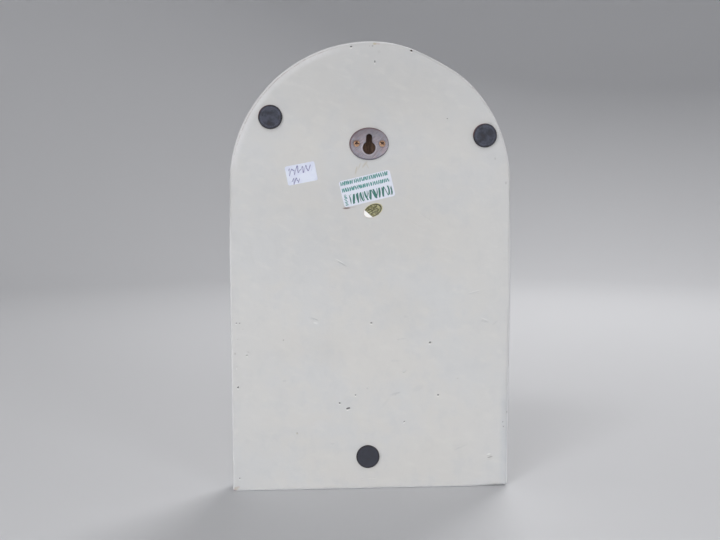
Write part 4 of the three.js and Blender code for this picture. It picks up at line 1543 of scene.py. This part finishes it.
def stockLook():
    look, local, u, w = stuckLook(stock, Specular_IOR_Level=0.4)
    fibre = look.noise(local, *paperGrain)
    scrawl = look.larger(*[scribble(look, u, w, line) for line in stock["scrawl"]])
    base = look.coats(
        stock["paper"],
        (look.rise(look.noise(local, 0.12, 2), 0.4, 0.6, 0.6), stock["cloud"]),
        (scrawl * (0.55 + fibre * 0.6), stock["ink"]))
    look.feed(Base_Color=base, Roughness=0.6, Normal=look.bump(fibre, 0.03, 0.5))
    return look.material


def sealEmboss(share):
    # raised rings near the rim
    return sum(rise * bell(share, place, width) for rise, place, width in seal["rings"])


def sealLift(u, w):
    # past the fold the end stands up at an even slope, after a short round
    start, slope = seal["curl"]
    past = u * seal["fold"][0] + w * seal["fold"][1] - start
    return slope * (past + np.sqrt(past ** 2 + 0.05)) / 2


def foilLook():
    look, local, u, w = stuckLook(seal)
    wide, tall = [side / 2 for side in seal["size"]]
    reach = look.hypot(u / wide, w / tall)
    wear, blotch = look.noises(local, seal["grains"])
    ring = look.rise(abs(reach - 0.84 + (wear - 0.5) * 0.06), 0.085, 0.045)
    rows = look.larger(*[strokeRow(look, u, w, (-5.2, 4.6, level - 0.55, level + 0.55, *seal["bars"],
                                                60 + 7 * number))
                         for number, level in enumerate(seal["rows"])])
    bars = rows * look.rise(reach, 0.72, 0.62) * 0.85
    inked = look.larger(ring, bars, look.rise(blotch, 0.55, 0.66, 0.6))
    past = u * seal["fold"][0] + w * seal["fold"][1] - seal["curl"][0]
    # painted glare: past the fold the end is painted near white
    glare = look.rise(past, 0.0, 0.5)
    base = look.coats(
        seal["foil"],
        (look.rise(wear, 0.4, 0.6), seal["pale"]),
        (look.rise(reach, 0.89, 0.94, 0.75), seal["gilt"]),
        (inked * 0.92, seal["dark"]),
        (glare, seal["glare"]),
        (glare * look.rise(reach, 0.95, 0.99, 0.6), seal["copper"]))
    look.feed(Base_Color=base, Metallic=(0.4 - inked * 0.25) * (1 - glare),
              Roughness=0.34 + wear * 0.15 + glare * 0.2, Normal=look.bump(wear + inked * 0.6, 0.1, 0.5))
    return look.material


def ringShares(inner, outer):
    # shares of the rim: so many up to 0.7, and closer together in the curled border
    return np.concatenate([np.linspace(0.03, 0.7, inner), outer, [1.0]])


labelShares = ringShares(12, np.linspace(0.74, 0.99, 8))
stockShares = ringShares(8, np.linspace(0.76, 0.99, 6))
sealTurn = fullTurn(120)
sealRim = np.stack([seal["size"][0] / 2 * np.cos(sealTurn), seal["size"][1] / 2 * np.sin(sealTurn)], -1)
addSticker(label, roundedRim(label), cornerLift(label), labelShares, labelLook())
addSticker(stock, roundedRim(stock), cornerLift(stock), stockShares, stockLook())
addSticker(seal, sealRim, sealLift, np.linspace(0.03, 1, 40), foilLook(), sealEmboss)
print("stickers on")
